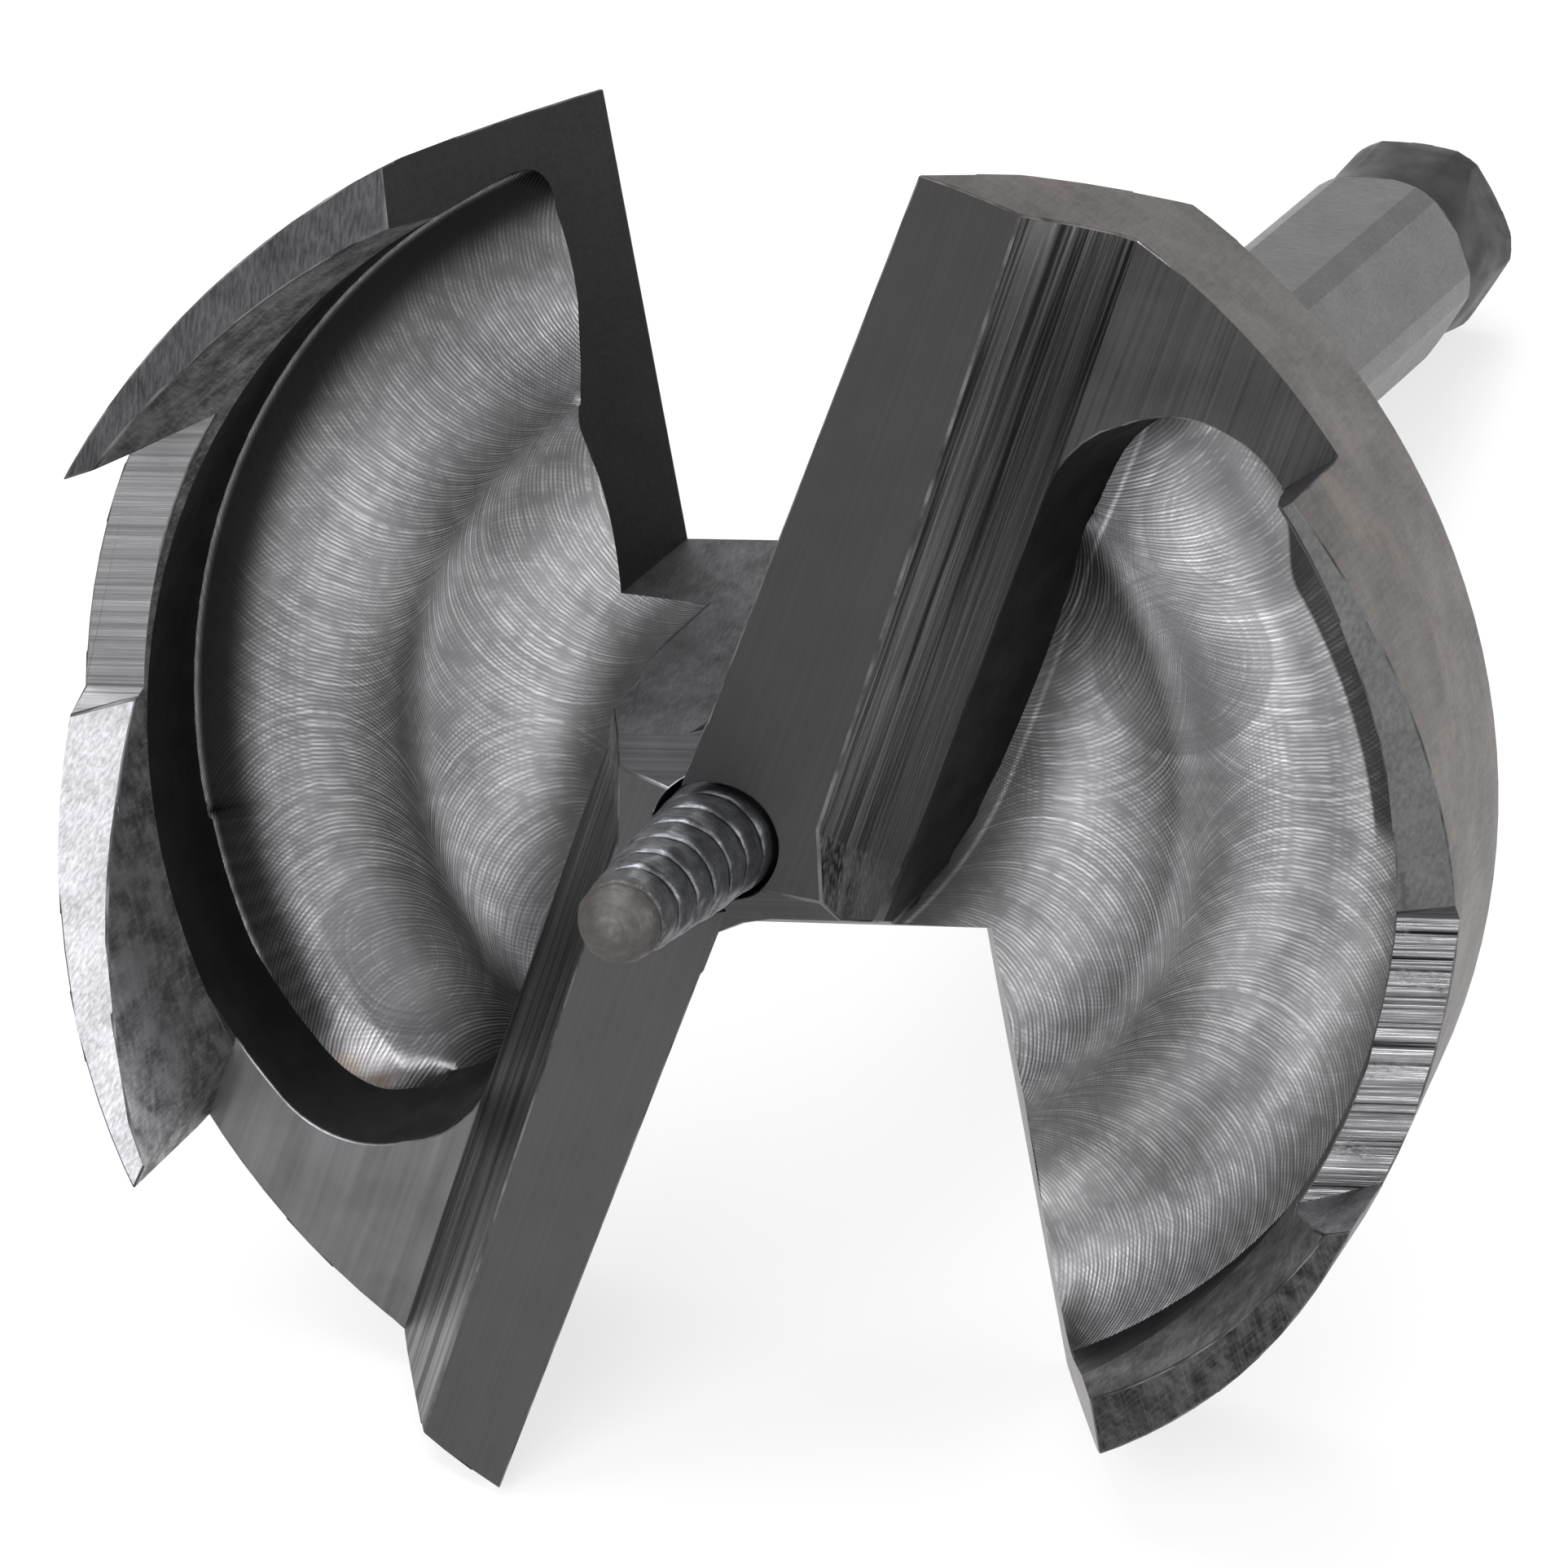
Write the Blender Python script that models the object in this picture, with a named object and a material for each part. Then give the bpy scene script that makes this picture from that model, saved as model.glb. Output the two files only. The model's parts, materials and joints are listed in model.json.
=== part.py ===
"""Self-feed forstner bit, 76 mm: a two-winged steel bit with a hexagon shank, its feed screw and set screw.

The bit is worked out standing on its own axis: +Z looks out of the cutting face, z = 0 is the level of the
two cutting edges, and wing A's blade runs out at BLADE_AZIMUTH. Wing B is wing A turned half a turn.
lay_down() then puts it on the floor the way it comes to rest, across one chip opening and on the shank's
end, with the cutting face to the front (-Y) and tipped up.
"""

from math import cos, hypot, pi, radians, sin, sqrt

import bmesh
import bpy
from mathutils import Matrix, Vector

MM = 0.001
SHARP_ANGLE = radians(28.0)

# Head
HEAD_RADIUS = 38.5 * MM
MARGIN_TAPER = 0.5 * MM
MARGIN_LEVEL = -7.0 * MM
MARGIN_RADIUS = HEAD_RADIUS - MARGIN_TAPER
REAR_TAPER = 1.8 * MM
REAR_RADIUS = MARGIN_RADIUS - REAR_TAPER
HEAD_DEPTH = 20.0 * MM
BLANK_TOP = 1.2 * MM
HEAD_SEGMENTS = 128

# Blades: the edge, the land behind it, the steep bevel, and the flat at its foot
BLADE_AZIMUTH = radians(65.3)
EDGE_OFFSET = -2.25 * MM
EDGE_SKEW = 0.0215
LAND_SLOPE = 0.273
BEVEL_START = 5.64 * MM
BEVEL_SLOPE = 1.546
BEVEL_FALL = 0.03
FLAT_LEVEL = -8.4 * MM
HUB_BEVEL_POINT = Vector((5.56, -0.46, -2.17)) * MM
HUB_BEVEL_NORMAL = Vector((0.889, -0.114, 0.443))
RAKE_LEAN = radians(25.0)
LAND_REACH = 11.4 * MM

# Chip openings: the trailing wall, the slot's inner end and the gash beside the screw
TRAIL_NORMAL = Vector((0.885, 0.089, -0.42))
TRAIL_REACH = 14.02 * MM
SLOT_END_REACH = 3.65 * MM
SLOT_END_LEAN = 0.345
SLOT_CORNER = 4.5 * MM
SLOT_CORNER_FACETS = 5
GASH_REACH = 1.1 * MM
GASH_SLOPE = 0.95
GASH_WIDTH = 9.4 * MM

# Rim teeth
TOOTH_AZIMUTH = radians(29.9)
TOOTH_A_LEVEL = 1.1 * MM
TOOTH_A_ROOM_AZIMUTH = radians(20.0)
TOOTH_A_SLOPES = (0.204, 0.368)
TOOTH_A_RAKE = {"a": radians(119.9), "b": radians(155.6)}
TOOTH_A_END = -4.75 * MM
TOOTH_B_LEVEL = 0.6 * MM
TOOTH_B_SLOPES = (0.2665, 0.116)
TOOTH_B_RAKE = radians(105.0)
GULLET_LEVEL = -8.2 * MM
GULLET_START = -5.4 * MM
GULLET_RISE = 0.061
GULLET_SIDE = 0.733

# Pockets: two rings milled side by side, walled by the rim, the blade and a round end
RIM_WALL = 4.1 * MM
POCKET_RADIUS = HEAD_RADIUS - RIM_WALL
MOUTH_WALL = ((-8.35, 4.0), (-5.6, 3.4), (-1.9, 2.1), (1.6, 0.4))
RIDGE_RISE = 0.6 * MM
RING_HALF_WIDTH = 6.3 * MM
RING_INSET = 6.2 * MM
OUTER_RING = POCKET_RADIUS - RING_INSET
INNER_RING = OUTER_RING - 2.0 * RING_HALF_WIDTH
RINGS = ((INNER_RING, -15.4 * MM), (OUTER_RING, -16.0 * MM))
FLOOR_FILLET = 2.2 * MM
FLOOR_STEPS = 8
POCKET_TOP = -5.0 * MM
WALL_TOP_OFFSET = 8.5 * MM
WALL_FOOT_OFFSET = 10.2 * MM
WALL_TOP_CURL = 3.0
WALL_FOOT_CURL = 22.5
WALL_CURL_START = 4.6 * MM
WALL_CURL_RUN = 18.0 * MM
WALL_CURL_STEPS = 6
POCKET_END_ROOM = {"a": 16.2 * MM, "b": 17.3 * MM}
POCKET_END_OFFSET = 15.0 * MM
POCKET_END_RADIUS = 6.5 * MM
POCKET_END_TAPER = 1.5 * MM
POCKET_END_FACETS = 18

# Neck and shank
NECK_RADIUS = 7.94 * MM
NECK_FLARE = 2.36 * MM
NECK_ROOT_RADIUS = NECK_RADIUS + NECK_FLARE
NECK_FILLET = 5.0 * MM
NECK_ROOT_LEVEL = -HEAD_DEPTH - NECK_FILLET
NECK_LENGTH = 21.0 * MM
NECK_END_LEVEL = NECK_ROOT_LEVEL - NECK_LENGTH
NECK_TAPER = 3.0 * MM
NECK_TAPER_END = NECK_END_LEVEL - NECK_TAPER
HEX_ACROSS_FLATS = 11.11 * MM
HEX_CORNER = 0.495 * MM
HEX_CORNER_RADIUS = HEX_ACROSS_FLATS / 2.0 + HEX_CORNER
HEX_AZIMUTH = radians(22.5)
SHANK_LENGTH = 73.5 * MM
SHANK_END_LEVEL = NECK_TAPER_END - SHANK_LENGTH
SHANK_CHAMFER = 0.9 * MM
GROOVE_SETBACK = 8.0 * MM
GROOVE_LEVEL = SHANK_END_LEVEL + GROOVE_SETBACK
GROOVE_DEPTH = 0.75 * MM
GROOVE_RADIUS = HEX_CORNER_RADIUS - GROOVE_DEPTH
GROOVE_LIP = 1.4 * MM
GROOVE_RUN = 6.0 * MM
SHANK_SEGMENTS = 48

# Feed screw and the set screw that holds it
CLEARANCE = 0.3 * MM
STEP = 0.05 * MM
SAME_POINT = 0.03 * MM
SCREW_RADIUS = 3.175 * MM
SCREW_CORE_LENGTH = 40.0 * MM
SCREW_TIP_LEVEL = 14.0 * MM
SCREW_TIP_RADIUS = 2.05 * MM
THREAD_BASE = -2.6 * MM
THREAD_PITCH = 2.05 * MM
THREAD_DEPTH = 0.42 * MM
THREAD_GROOVE = 0.84
SCREW_TAPER = 1.4
THREAD_RINGS_PER_TURN = 8
THREAD_SEGMENTS = 32
BORE_SEGMENTS = 48
BORE_FLOOR_ROOM = 1.5 * MM
BORE_TOP = 4.0 * BLANK_TOP
SET_SCREW_SETBACK = 10.0 * MM
SET_SCREW_LEVEL = NECK_ROOT_LEVEL - SET_SCREW_SETBACK
SET_SCREW_AZIMUTH = radians(155.0)
SET_SCREW_RADIUS = 2.4 * MM
SET_SCREW_INSET = 0.3 * MM
SOCKET_ACROSS_FLATS = 2.4 * MM
SOCKET_DEPTH = 2.0 * MM
SET_SCREW_SEGMENTS = 32

# Rest: the way down, seen from the axis
REST_AZIMUTH = radians(-99.6)
REST_LEAN = radians(14.9)

U = Vector((cos(BLADE_AZIMUTH), sin(BLADE_AZIMUTH), 0.0))
N = Vector((sin(BLADE_AZIMUTH), -cos(BLADE_AZIMUTH), 0.0))
UP = Vector((0.0, 0.0, 1.0))
REACH = 3.0 * HEAD_RADIUS
RIM_A = Vector((cos(TOOTH_AZIMUTH), sin(TOOTH_AZIMUTH), 0.0)) * HEAD_RADIUS
TOOTH_A_TIP = RIM_A + UP * TOOTH_A_LEVEL
TOOTH_B_TIP = Vector((RIM_A.x, -RIM_A.y, TOOTH_B_LEVEL))
HALF_TURN = Matrix.Diagonal((-1.0, -1.0, 1.0, 1.0))


def clear_scene():
    """Remove every object already in the file."""
    for thing in list(bpy.data.objects):
        bpy.data.objects.remove(thing, do_unlink=True)


def steel(name, colour, roughness):
    """One plain metal finish."""
    material = bpy.data.materials.new(name)
    material.use_nodes = True
    shader = material.node_tree.nodes["Principled BSDF"]
    shader.inputs["Base Color"].default_value = (*colour, 1.0)
    shader.inputs["Metallic"].default_value = 1.0
    shader.inputs["Roughness"].default_value = roughness
    return material


def new_object(name, bm, material=None):
    """Put a bmesh into the scene as a named object."""
    bmesh.ops.recalc_face_normals(bm, faces=bm.faces)
    mesh = bpy.data.meshes.new(name)
    bm.to_mesh(mesh)
    bm.free()
    thing = bpy.data.objects.new(name, mesh)
    bpy.context.scene.collection.objects.link(thing)
    if material:
        mesh.materials.append(material)
    return thing


def shade_round(thing, angle):
    """Smooth shading with edges sharper than the angle kept."""
    thing.data.shade_smooth()
    thing.data.set_sharp_from_angle(angle=angle)


def combine(target, cutter, operation, name):
    """Add or cut a helper body, hidden from renders."""
    cutter.hide_render = True
    cutter.display_type = "WIRE"
    step = target.modifiers.new(name, "BOOLEAN")
    step.operation = operation
    step.object = cutter
    step.solver = "MANIFOLD"


def lathe(profile, segments):
    """Closed body turned about Z from (radius, level) points that start and end on the axis."""
    bm = bmesh.new()
    rings = []
    for radius, level in profile:
        if radius <= 0.0:
            rings.append([bm.verts.new((0.0, 0.0, level))])
            continue
        turn = [2.0 * pi * i / segments for i in range(segments)]
        rings.append([bm.verts.new((radius * cos(a), radius * sin(a), level)) for a in turn])
    for low, high in zip(rings, rings[1:]):
        for i in range(segments):
            j = (i + 1) % segments
            corners = [low[i % len(low)], low[j % len(low)], high[j % len(high)], high[i % len(high)]]
            bm.faces.new(list(dict.fromkeys(corners)))
    return bm


def loft(outlines):
    """Closed body through outlines of equal length, each a list of points."""
    bm = bmesh.new()
    rings = [[bm.verts.new(point) for point in outline] for outline in outlines]
    count = len(rings[0])
    for low, high in zip(rings, rings[1:]):
        for i in range(count):
            j = (i + 1) % count
            bm.faces.new((low[i], low[j], high[j], high[i]))
    bm.faces.new(rings[0])
    bm.faces.new(rings[-1])
    return bm


def keep_below(bm, planes):
    """Trim a closed body by planes, each a point and the outward normal of what is cut away."""
    for point, normal in planes:
        geometry = bm.verts[:] + bm.edges[:] + bm.faces[:]
        cut = bmesh.ops.bisect_plane(bm, geom=geometry, plane_co=point, plane_no=normal, clear_outer=True)
        edges = [item for item in cut["geom_cut"] if isinstance(item, bmesh.types.BMEdge)]
        bmesh.ops.holes_fill(bm, edges=edges, sides=0)
    return bm


def wedge(planes):
    """Convex body bounded by planes inside a block larger than the head."""
    bm = bmesh.new()
    bmesh.ops.create_cube(bm, size=2.0 * REACH)
    return keep_below(bm, planes)


def place(along, offset, level=0.0):
    """A point of wing A: along its blade, offset behind the middle line, at a level."""
    return U * along + N * offset + UP * level


def land_plane():
    """Point and upward normal of wing A's land."""
    fall = Vector((-EDGE_SKEW, 1.0, 0.0))
    normal = UP + (U * fall.x + N * fall.y) * LAND_SLOPE
    return place(0.0, EDGE_OFFSET), normal.normalized()


def bevel_plane():
    """Point and upward normal of wing A's bevel."""
    normal = UP + U * BEVEL_FALL + N * BEVEL_SLOPE
    return place(0.0, 0.0, BEVEL_START), normal.normalized()


def hub_bevel_plane():
    """Point and upward normal of the short facet that ends wing A's bevel at the hub."""
    return HUB_BEVEL_POINT, HUB_BEVEL_NORMAL.normalized()


def rake_plane():
    """Point and outward normal of the face under wing A's cutting edge."""
    outward = (U * EDGE_SKEW - N).normalized()
    normal = outward * cos(RAKE_LEAN) - UP * sin(RAKE_LEAN)
    return place(0.0, EDGE_OFFSET), normal


def slot_end_plane():
    """Point and outward normal of the hub's wall at the inner end of the chip opening behind wing A."""
    normal = Vector((0.0, -1.0, SLOT_END_LEAN)).normalized()
    return Vector((0.0, -SLOT_END_REACH, 0.0)), normal


def sloped(tip, slopes):
    """Point and upward normal of a tooth's top that rises by slopes toward +X and +Y."""
    return tip, Vector((-slopes[0], -slopes[1], 1.0)).normalized()


def flipped(plane):
    """The same plane facing the other way."""
    return plane[0], -plane[1]


def half_turned(plane):
    """The plane as wing B has it."""
    return HALF_TURN @ plane[0], HALF_TURN.to_3x3() @ plane[1]


def head_blank():
    """Disc with its tapered outer face, neck and the root of the shank, in one turned body."""
    taper = (HEAD_RADIUS - MARGIN_RADIUS) / -MARGIN_LEVEL
    profile = [
        (0.0, NECK_TAPER_END),
        (HEX_CORNER_RADIUS, NECK_TAPER_END),
        (NECK_RADIUS, NECK_END_LEVEL),
        (NECK_RADIUS, NECK_ROOT_LEVEL),
        (NECK_ROOT_RADIUS, -HEAD_DEPTH),
        (REAR_RADIUS, -HEAD_DEPTH),
        (MARGIN_RADIUS, MARGIN_LEVEL),
        (HEAD_RADIUS + taper * BLANK_TOP, BLANK_TOP),
        (0.0, BLANK_TOP),
    ]
    return lathe(profile, HEAD_SEGMENTS)


def shank_blank():
    """Hexagon bar with its worn corners, driving groove and end chamfer."""
    root = NECK_TAPER_END + (NECK_RADIUS - HEX_CORNER_RADIUS)
    profile = [
        (0.0, SHANK_END_LEVEL),
        (HEX_CORNER_RADIUS - SHANK_CHAMFER, SHANK_END_LEVEL),
        (HEX_CORNER_RADIUS, SHANK_END_LEVEL + SHANK_CHAMFER),
        (HEX_CORNER_RADIUS, GROOVE_LEVEL - GROOVE_RUN),
        (GROOVE_RADIUS, GROOVE_LEVEL),
        (HEX_CORNER_RADIUS, GROOVE_LEVEL + GROOVE_LIP),
        (HEX_CORNER_RADIUS, root),
        (0.0, root),
    ]
    bm = lathe(profile, SHANK_SEGMENTS)
    flats = []
    for i in range(6):
        azimuth = HEX_AZIMUTH + i * pi / 3.0
        outward = Vector((cos(azimuth), sin(azimuth), 0.0))
        flats.append((outward * HEX_ACROSS_FLATS / 2.0, outward))
    return keep_below(bm, flats)


def slot_planes():
    """Planes round the chip opening behind wing A: its trailing wall, wing B's rake, the hub and a fillet."""
    trail = (TRAIL_NORMAL.normalized() * TRAIL_REACH / TRAIL_NORMAL.length, TRAIL_NORMAL.normalized())
    rake = flipped(half_turned(rake_plane()))
    end = flipped(slot_end_plane())
    planes = [trail, rake, end]
    along_corner = rake[1].cross(end[1]).normalized()
    inner = corner_axis(rake, end, along_corner)
    for i in range(1, SLOT_CORNER_FACETS):
        share = i / SLOT_CORNER_FACETS
        normal = (rake[1] * (1.0 - share) + end[1] * share).normalized()
        planes.append((inner + normal * SLOT_CORNER, normal))
    return planes


def corner_axis(first, second, direction):
    """Point on the axis of a fillet of radius SLOT_CORNER that touches two planes from inside."""
    rows = Matrix((first[1], second[1], direction))
    values = Vector((
        first[1].dot(first[0]) - SLOT_CORNER,
        second[1].dot(second[0]) - SLOT_CORNER,
        0.0,
    ))
    return rows.inverted() @ values


def gash_planes():
    """Planes of the gash that thins the hub beside the feed screw, up to just short of wing B's rake."""
    normal = Vector((0.0, -GASH_SLOPE, 1.0)).normalized()
    point, facing = flipped(half_turned(rake_plane()))
    return [
        (Vector((0.0, -GASH_REACH, 0.0)), -normal),
        (place(0.0, GASH_WIDTH), N),
        (point - facing * STEP, facing),
    ]


def level_plane(level, facing=1.0):
    """A level plane, facing up or down."""
    return Vector((0.0, 0.0, level)), UP * facing


def radial_plane(azimuth, side):
    """Upright plane through the axis; side +1 faces the way the bit turns."""
    return Vector(), Vector((-sin(azimuth), cos(azimuth), 0.0)) * side


def tooth_rake(tip, facing):
    """Upright plane through a tooth's tip."""
    return tip, Vector((cos(facing), sin(facing), 0.0))


def land_cutter(_wing):
    """Everything above wing A's land, on its own side of the axis."""
    away = -(U + N).normalized()
    return wedge([flipped(land_plane()), (place(0.0, LAND_REACH), N), (away * STEP, away)])


def flat_cutter(wing):
    """Everything above the bevel and the flat, up to the first tooth's rake face."""
    ahead = flipped(tooth_rake(TOOTH_A_TIP, TOOTH_A_RAKE[wing]))
    floor = level_plane(FLAT_LEVEL, -1.0)
    room = radial_plane(TOOTH_A_ROOM_AZIMUTH, -1.0)
    return wedge([flipped(bevel_plane()), flipped(hub_bevel_plane()), floor, ahead, room])


def mouth_cutter(_wing):
    """The pocket's open mouth above the flat, inside the slanted inner faces of the teeth."""
    points = [(HEAD_RADIUS - wall * MM, level * MM) for level, wall in MOUTH_WALL]
    profile = [(0.0, points[0][1])] + points + [(0.0, points[-1][1])]
    return keep_below(lathe(profile, HEAD_SEGMENTS), [flipped(bevel_plane()), flipped(hub_bevel_plane())])


def floor_profile():
    """Turned profile of the pocket: two milled rings with a soft ridge between them."""
    points = [(0.0, RINGS[0][1] + RIDGE_RISE)]
    for centre, floor in RINGS:
        for i in range(FLOOR_STEPS + 1):
            across = -1.0 + 2.0 * i / FLOOR_STEPS
            radius = centre + across * RING_HALF_WIDTH
            if radius < POCKET_RADIUS - FLOOR_FILLET:
                points.append((radius, floor + RIDGE_RISE * (0.5 - 0.5 * cos(pi * across))))
    start_level = points[-1][1]
    for i in range(FLOOR_STEPS // 2 + 1):
        angle = pi / 2.0 * i / (FLOOR_STEPS // 2)
        radius = POCKET_RADIUS - FLOOR_FILLET + FLOOR_FILLET * sin(angle)
        points.append((radius, start_level + FLOOR_FILLET * (1.0 - cos(angle))))
    points.append((POCKET_RADIUS, POCKET_TOP))
    points.append((0.0, POCKET_TOP))
    clean = [points[0]]
    for point in points[1:]:
        if hypot(point[0] - clean[-1][0], point[1] - clean[-1][1]) > SAME_POINT:
            clean.append(point)
    return clean


def pocket_outline(wing, wall_offset, curl, end_radius, level):
    """Outline of the pocket: the blade's wall curling in at the hub, the round end, the open side."""
    points = []
    for i in range(WALL_CURL_STEPS + 1):
        run = WALL_CURL_RUN * (1.0 - i / WALL_CURL_STEPS)
        points.append(place(WALL_CURL_START - run, wall_offset - curl * run * run, level))
    for i in range(POCKET_END_FACETS + 1):
        angle = pi * (1.0 - i / POCKET_END_FACETS)
        along = HEAD_RADIUS - POCKET_END_ROOM[wing] + end_radius * sin(angle)
        points.append(place(along, POCKET_END_OFFSET + end_radius * cos(angle), level))
    points.append(place(HEAD_RADIUS - POCKET_END_ROOM[wing], POCKET_END_OFFSET + REACH, level))
    points.append(place(-REACH, POCKET_END_OFFSET + REACH, level))
    points.append(place(-REACH, WALL_TOP_OFFSET, level))
    return points


def pocket_cutter(wing):
    """The milled pocket below the flat."""
    body = new_object("pocket_" + wing, lathe(floor_profile(), HEAD_SEGMENTS))
    foot_radius = POCKET_END_RADIUS - POCKET_END_TAPER
    foot = pocket_outline(wing, WALL_FOOT_OFFSET, WALL_FOOT_CURL, foot_radius, RINGS[-1][1] - CLEARANCE)
    edge = pocket_outline(wing, WALL_TOP_OFFSET, WALL_TOP_CURL, POCKET_END_RADIUS, FLAT_LEVEL)
    over = pocket_outline(wing, WALL_TOP_OFFSET, WALL_TOP_CURL, POCKET_END_RADIUS, POCKET_TOP + CLEARANCE)
    outline = new_object("pocket_outline_" + wing, loft([foot, edge, over]))
    combine(body, outline, "INTERSECT", "outline")
    return body


def tooth_a_cutter(_wing):
    """Everything above the first tooth's top."""
    end = (Vector((0.0, TOOTH_A_END - CLEARANCE, 0.0)), Vector((0.0, -1.0, 0.0)))
    point, facing = radial_plane(TOOTH_AZIMUTH, 1.0)
    ahead = (point + facing * CLEARANCE, facing)
    outside = (Vector((POCKET_RADIUS / 2.0, 0.0, 0.0)), Vector((-1.0, 0.0, 0.0)))
    return wedge([flipped(sloped(TOOTH_A_TIP, TOOTH_A_SLOPES)), end, ahead, outside])


def tooth_b_cutter(_wing):
    """Everything above the second tooth's top."""
    tip, facing = tooth_rake(TOOTH_B_TIP, TOOTH_B_RAKE)
    ahead = (tip + facing * CLEARANCE, facing)
    outside = (Vector((REAR_RADIUS / 4.0, 0.0, 0.0)), Vector((-1.0, 0.0, 0.0)))
    return wedge([flipped(sloped(TOOTH_B_TIP, TOOTH_B_SLOPES)), ahead, outside])


def gullet_cutter(_wing):
    """The gullet milled across the rim between the two teeth."""
    floor = (Vector((0.0, GULLET_START, GULLET_LEVEL)), -Vector((0.0, GULLET_RISE, 1.0)).normalized())
    side = (Vector((0.0, GULLET_START, GULLET_LEVEL)), Vector((0.0, 1.0, -GULLET_SIDE)).normalized())
    back = flipped(tooth_rake(TOOTH_B_TIP, TOOTH_B_RAKE))
    outside = (Vector((POCKET_RADIUS / 2.0, 0.0, 0.0)), Vector((-1.0, 0.0, 0.0)))
    return wedge([floor, side, back, outside])


def cut_both_wings(head, name, make):
    """Cut a shape into wing A and, turned half round, into wing B."""
    for wing in ("a", "b"):
        made = make(wing)
        cutter = made if isinstance(made, bpy.types.Object) else new_object(name + "_" + wing, made)
        if wing == "b":
            turn_round(cutter)
        combine(head, cutter, "DIFFERENCE", name + "_" + wing)


def turn_round(cutter):
    """Half-turn a cutter and whatever shapes it."""
    cutter.data.transform(HALF_TURN)
    for step in cutter.modifiers:
        turn_round(step.object)


def build_bit(material):
    """Head, neck and shank: one piece of steel."""
    bit = new_object("bit_body", head_blank(), material)
    combine(bit, new_object("shank_bar", shank_blank()), "UNION", "shank")
    cut_both_wings(bit, "land", land_cutter)
    cut_both_wings(bit, "flat", flat_cutter)
    cut_both_wings(bit, "mouth", mouth_cutter)
    cut_both_wings(bit, "pocket", pocket_cutter)
    cut_both_wings(bit, "tooth_a", tooth_a_cutter)
    cut_both_wings(bit, "gullet", gullet_cutter)
    cut_both_wings(bit, "tooth_b", tooth_b_cutter)
    cut_both_wings(bit, "slot", lambda _wing: wedge(slot_planes()))
    cut_both_wings(bit, "gash", lambda _wing: wedge(gash_planes()))
    bore = SCREW_RADIUS + CLEARANCE
    bottom = THREAD_BASE - SCREW_CORE_LENGTH - BORE_FLOOR_ROOM
    hole = [(0.0, bottom), (bore, bottom), (bore, BORE_TOP), (0.0, BORE_TOP)]
    combine(bit, new_object("screw_bore", lathe(hole, BORE_SEGMENTS)), "DIFFERENCE", "bore")
    combine(bit, new_object("set_screw_hole", set_screw_hole()), "DIFFERENCE", "set_screw_hole")
    return bit


def across_neck(bm):
    """Turn a body made along Z so that it points out of the neck at the set screw's place."""
    turn = Matrix.Rotation(SET_SCREW_AZIMUTH, 4, "Z") @ Matrix.Rotation(pi / 2.0, 4, "Y")
    bmesh.ops.transform(bm, matrix=Matrix.Translation((0.0, 0.0, SET_SCREW_LEVEL)) @ turn, verts=bm.verts)
    return bm


def set_screw_hole():
    """Tapped hole from the neck's side into the bore."""
    radius = SET_SCREW_RADIUS + CLEARANCE
    far = 3.0 * NECK_RADIUS
    return across_neck(lathe([(0.0, 0.0), (radius, 0.0), (radius, far), (0.0, far)], SET_SCREW_SEGMENTS))


def build_feed_screw(material):
    """Plain shank in the bore, tapered thread with a worn, rounded tip outside it."""
    bm = bmesh.new()
    length = SCREW_TIP_LEVEL - THREAD_BASE
    turns = length / THREAD_PITCH
    count = int(turns * THREAD_RINGS_PER_TURN)
    rings = [thread_ring(bm, i / count, turns) for i in range(count)]
    tip = bm.verts.new((0.0, 0.0, SCREW_TIP_LEVEL))
    foot = [bm.verts.new((v.co.x, v.co.y, THREAD_BASE - SCREW_CORE_LENGTH)) for v in rings[0]]
    rings.insert(0, foot)
    for low, high in zip(rings, rings[1:]):
        for i in range(THREAD_SEGMENTS):
            j = (i + 1) % THREAD_SEGMENTS
            bm.faces.new((low[i], low[j], high[j], high[i]))
    for i in range(THREAD_SEGMENTS):
        bm.faces.new((rings[-1][i], rings[-1][(i + 1) % THREAD_SEGMENTS], tip))
    bm.faces.new(foot)
    return new_object("feed_screw", bm, material)


def thread_ring(bm, share, turns):
    """One ring of the screw at a share of its threaded length."""
    level = THREAD_BASE + share * (SCREW_TIP_LEVEL - THREAD_BASE)
    taper = SCREW_RADIUS + (SCREW_TIP_RADIUS - SCREW_RADIUS) * share ** SCREW_TAPER
    room = SCREW_TIP_LEVEL - level
    if room < SCREW_TIP_RADIUS:
        taper *= sqrt(1.0 - (1.0 - room / SCREW_TIP_RADIUS) ** 2)
    depth = THREAD_DEPTH * min(1.0, share * turns) * min(1.0, room / SCREW_TIP_RADIUS)
    ring = []
    for i in range(THREAD_SEGMENTS):
        angle = 2.0 * pi * i / THREAD_SEGMENTS
        phase = (share * turns - i / THREAD_SEGMENTS) % 1.0
        groove = 1.0 - min(1.0, abs(phase - 0.5) / (THREAD_GROOVE / 2.0))
        radius = taper - depth * groove
        ring.append(bm.verts.new((radius * cos(angle), radius * sin(angle), level)))
    return ring


def build_set_screw(material):
    """Socket set screw, seated against the feed screw's shank."""
    start = SCREW_RADIUS + CLEARANCE
    end = NECK_RADIUS - SET_SCREW_INSET
    edge = SET_SCREW_INSET
    radius = SET_SCREW_RADIUS
    profile = [
        (0.0, start),
        (radius - 2.0 * edge, start),
        (radius, start + 2.0 * edge),
        (radius, end - edge),
        (radius - edge, end),
        (0.0, end),
    ]
    screw = new_object("set_screw", across_neck(lathe(profile, SET_SCREW_SEGMENTS)), material)
    corner = SOCKET_ACROSS_FLATS / sqrt(3.0)
    floor = end - SOCKET_DEPTH
    far = end + SOCKET_DEPTH
    socket = lathe([(0.0, floor), (corner, floor), (corner, far), (0.0, far)], 6)
    combine(screw, new_object("socket", across_neck(socket)), "DIFFERENCE", "socket")
    return screw


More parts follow.
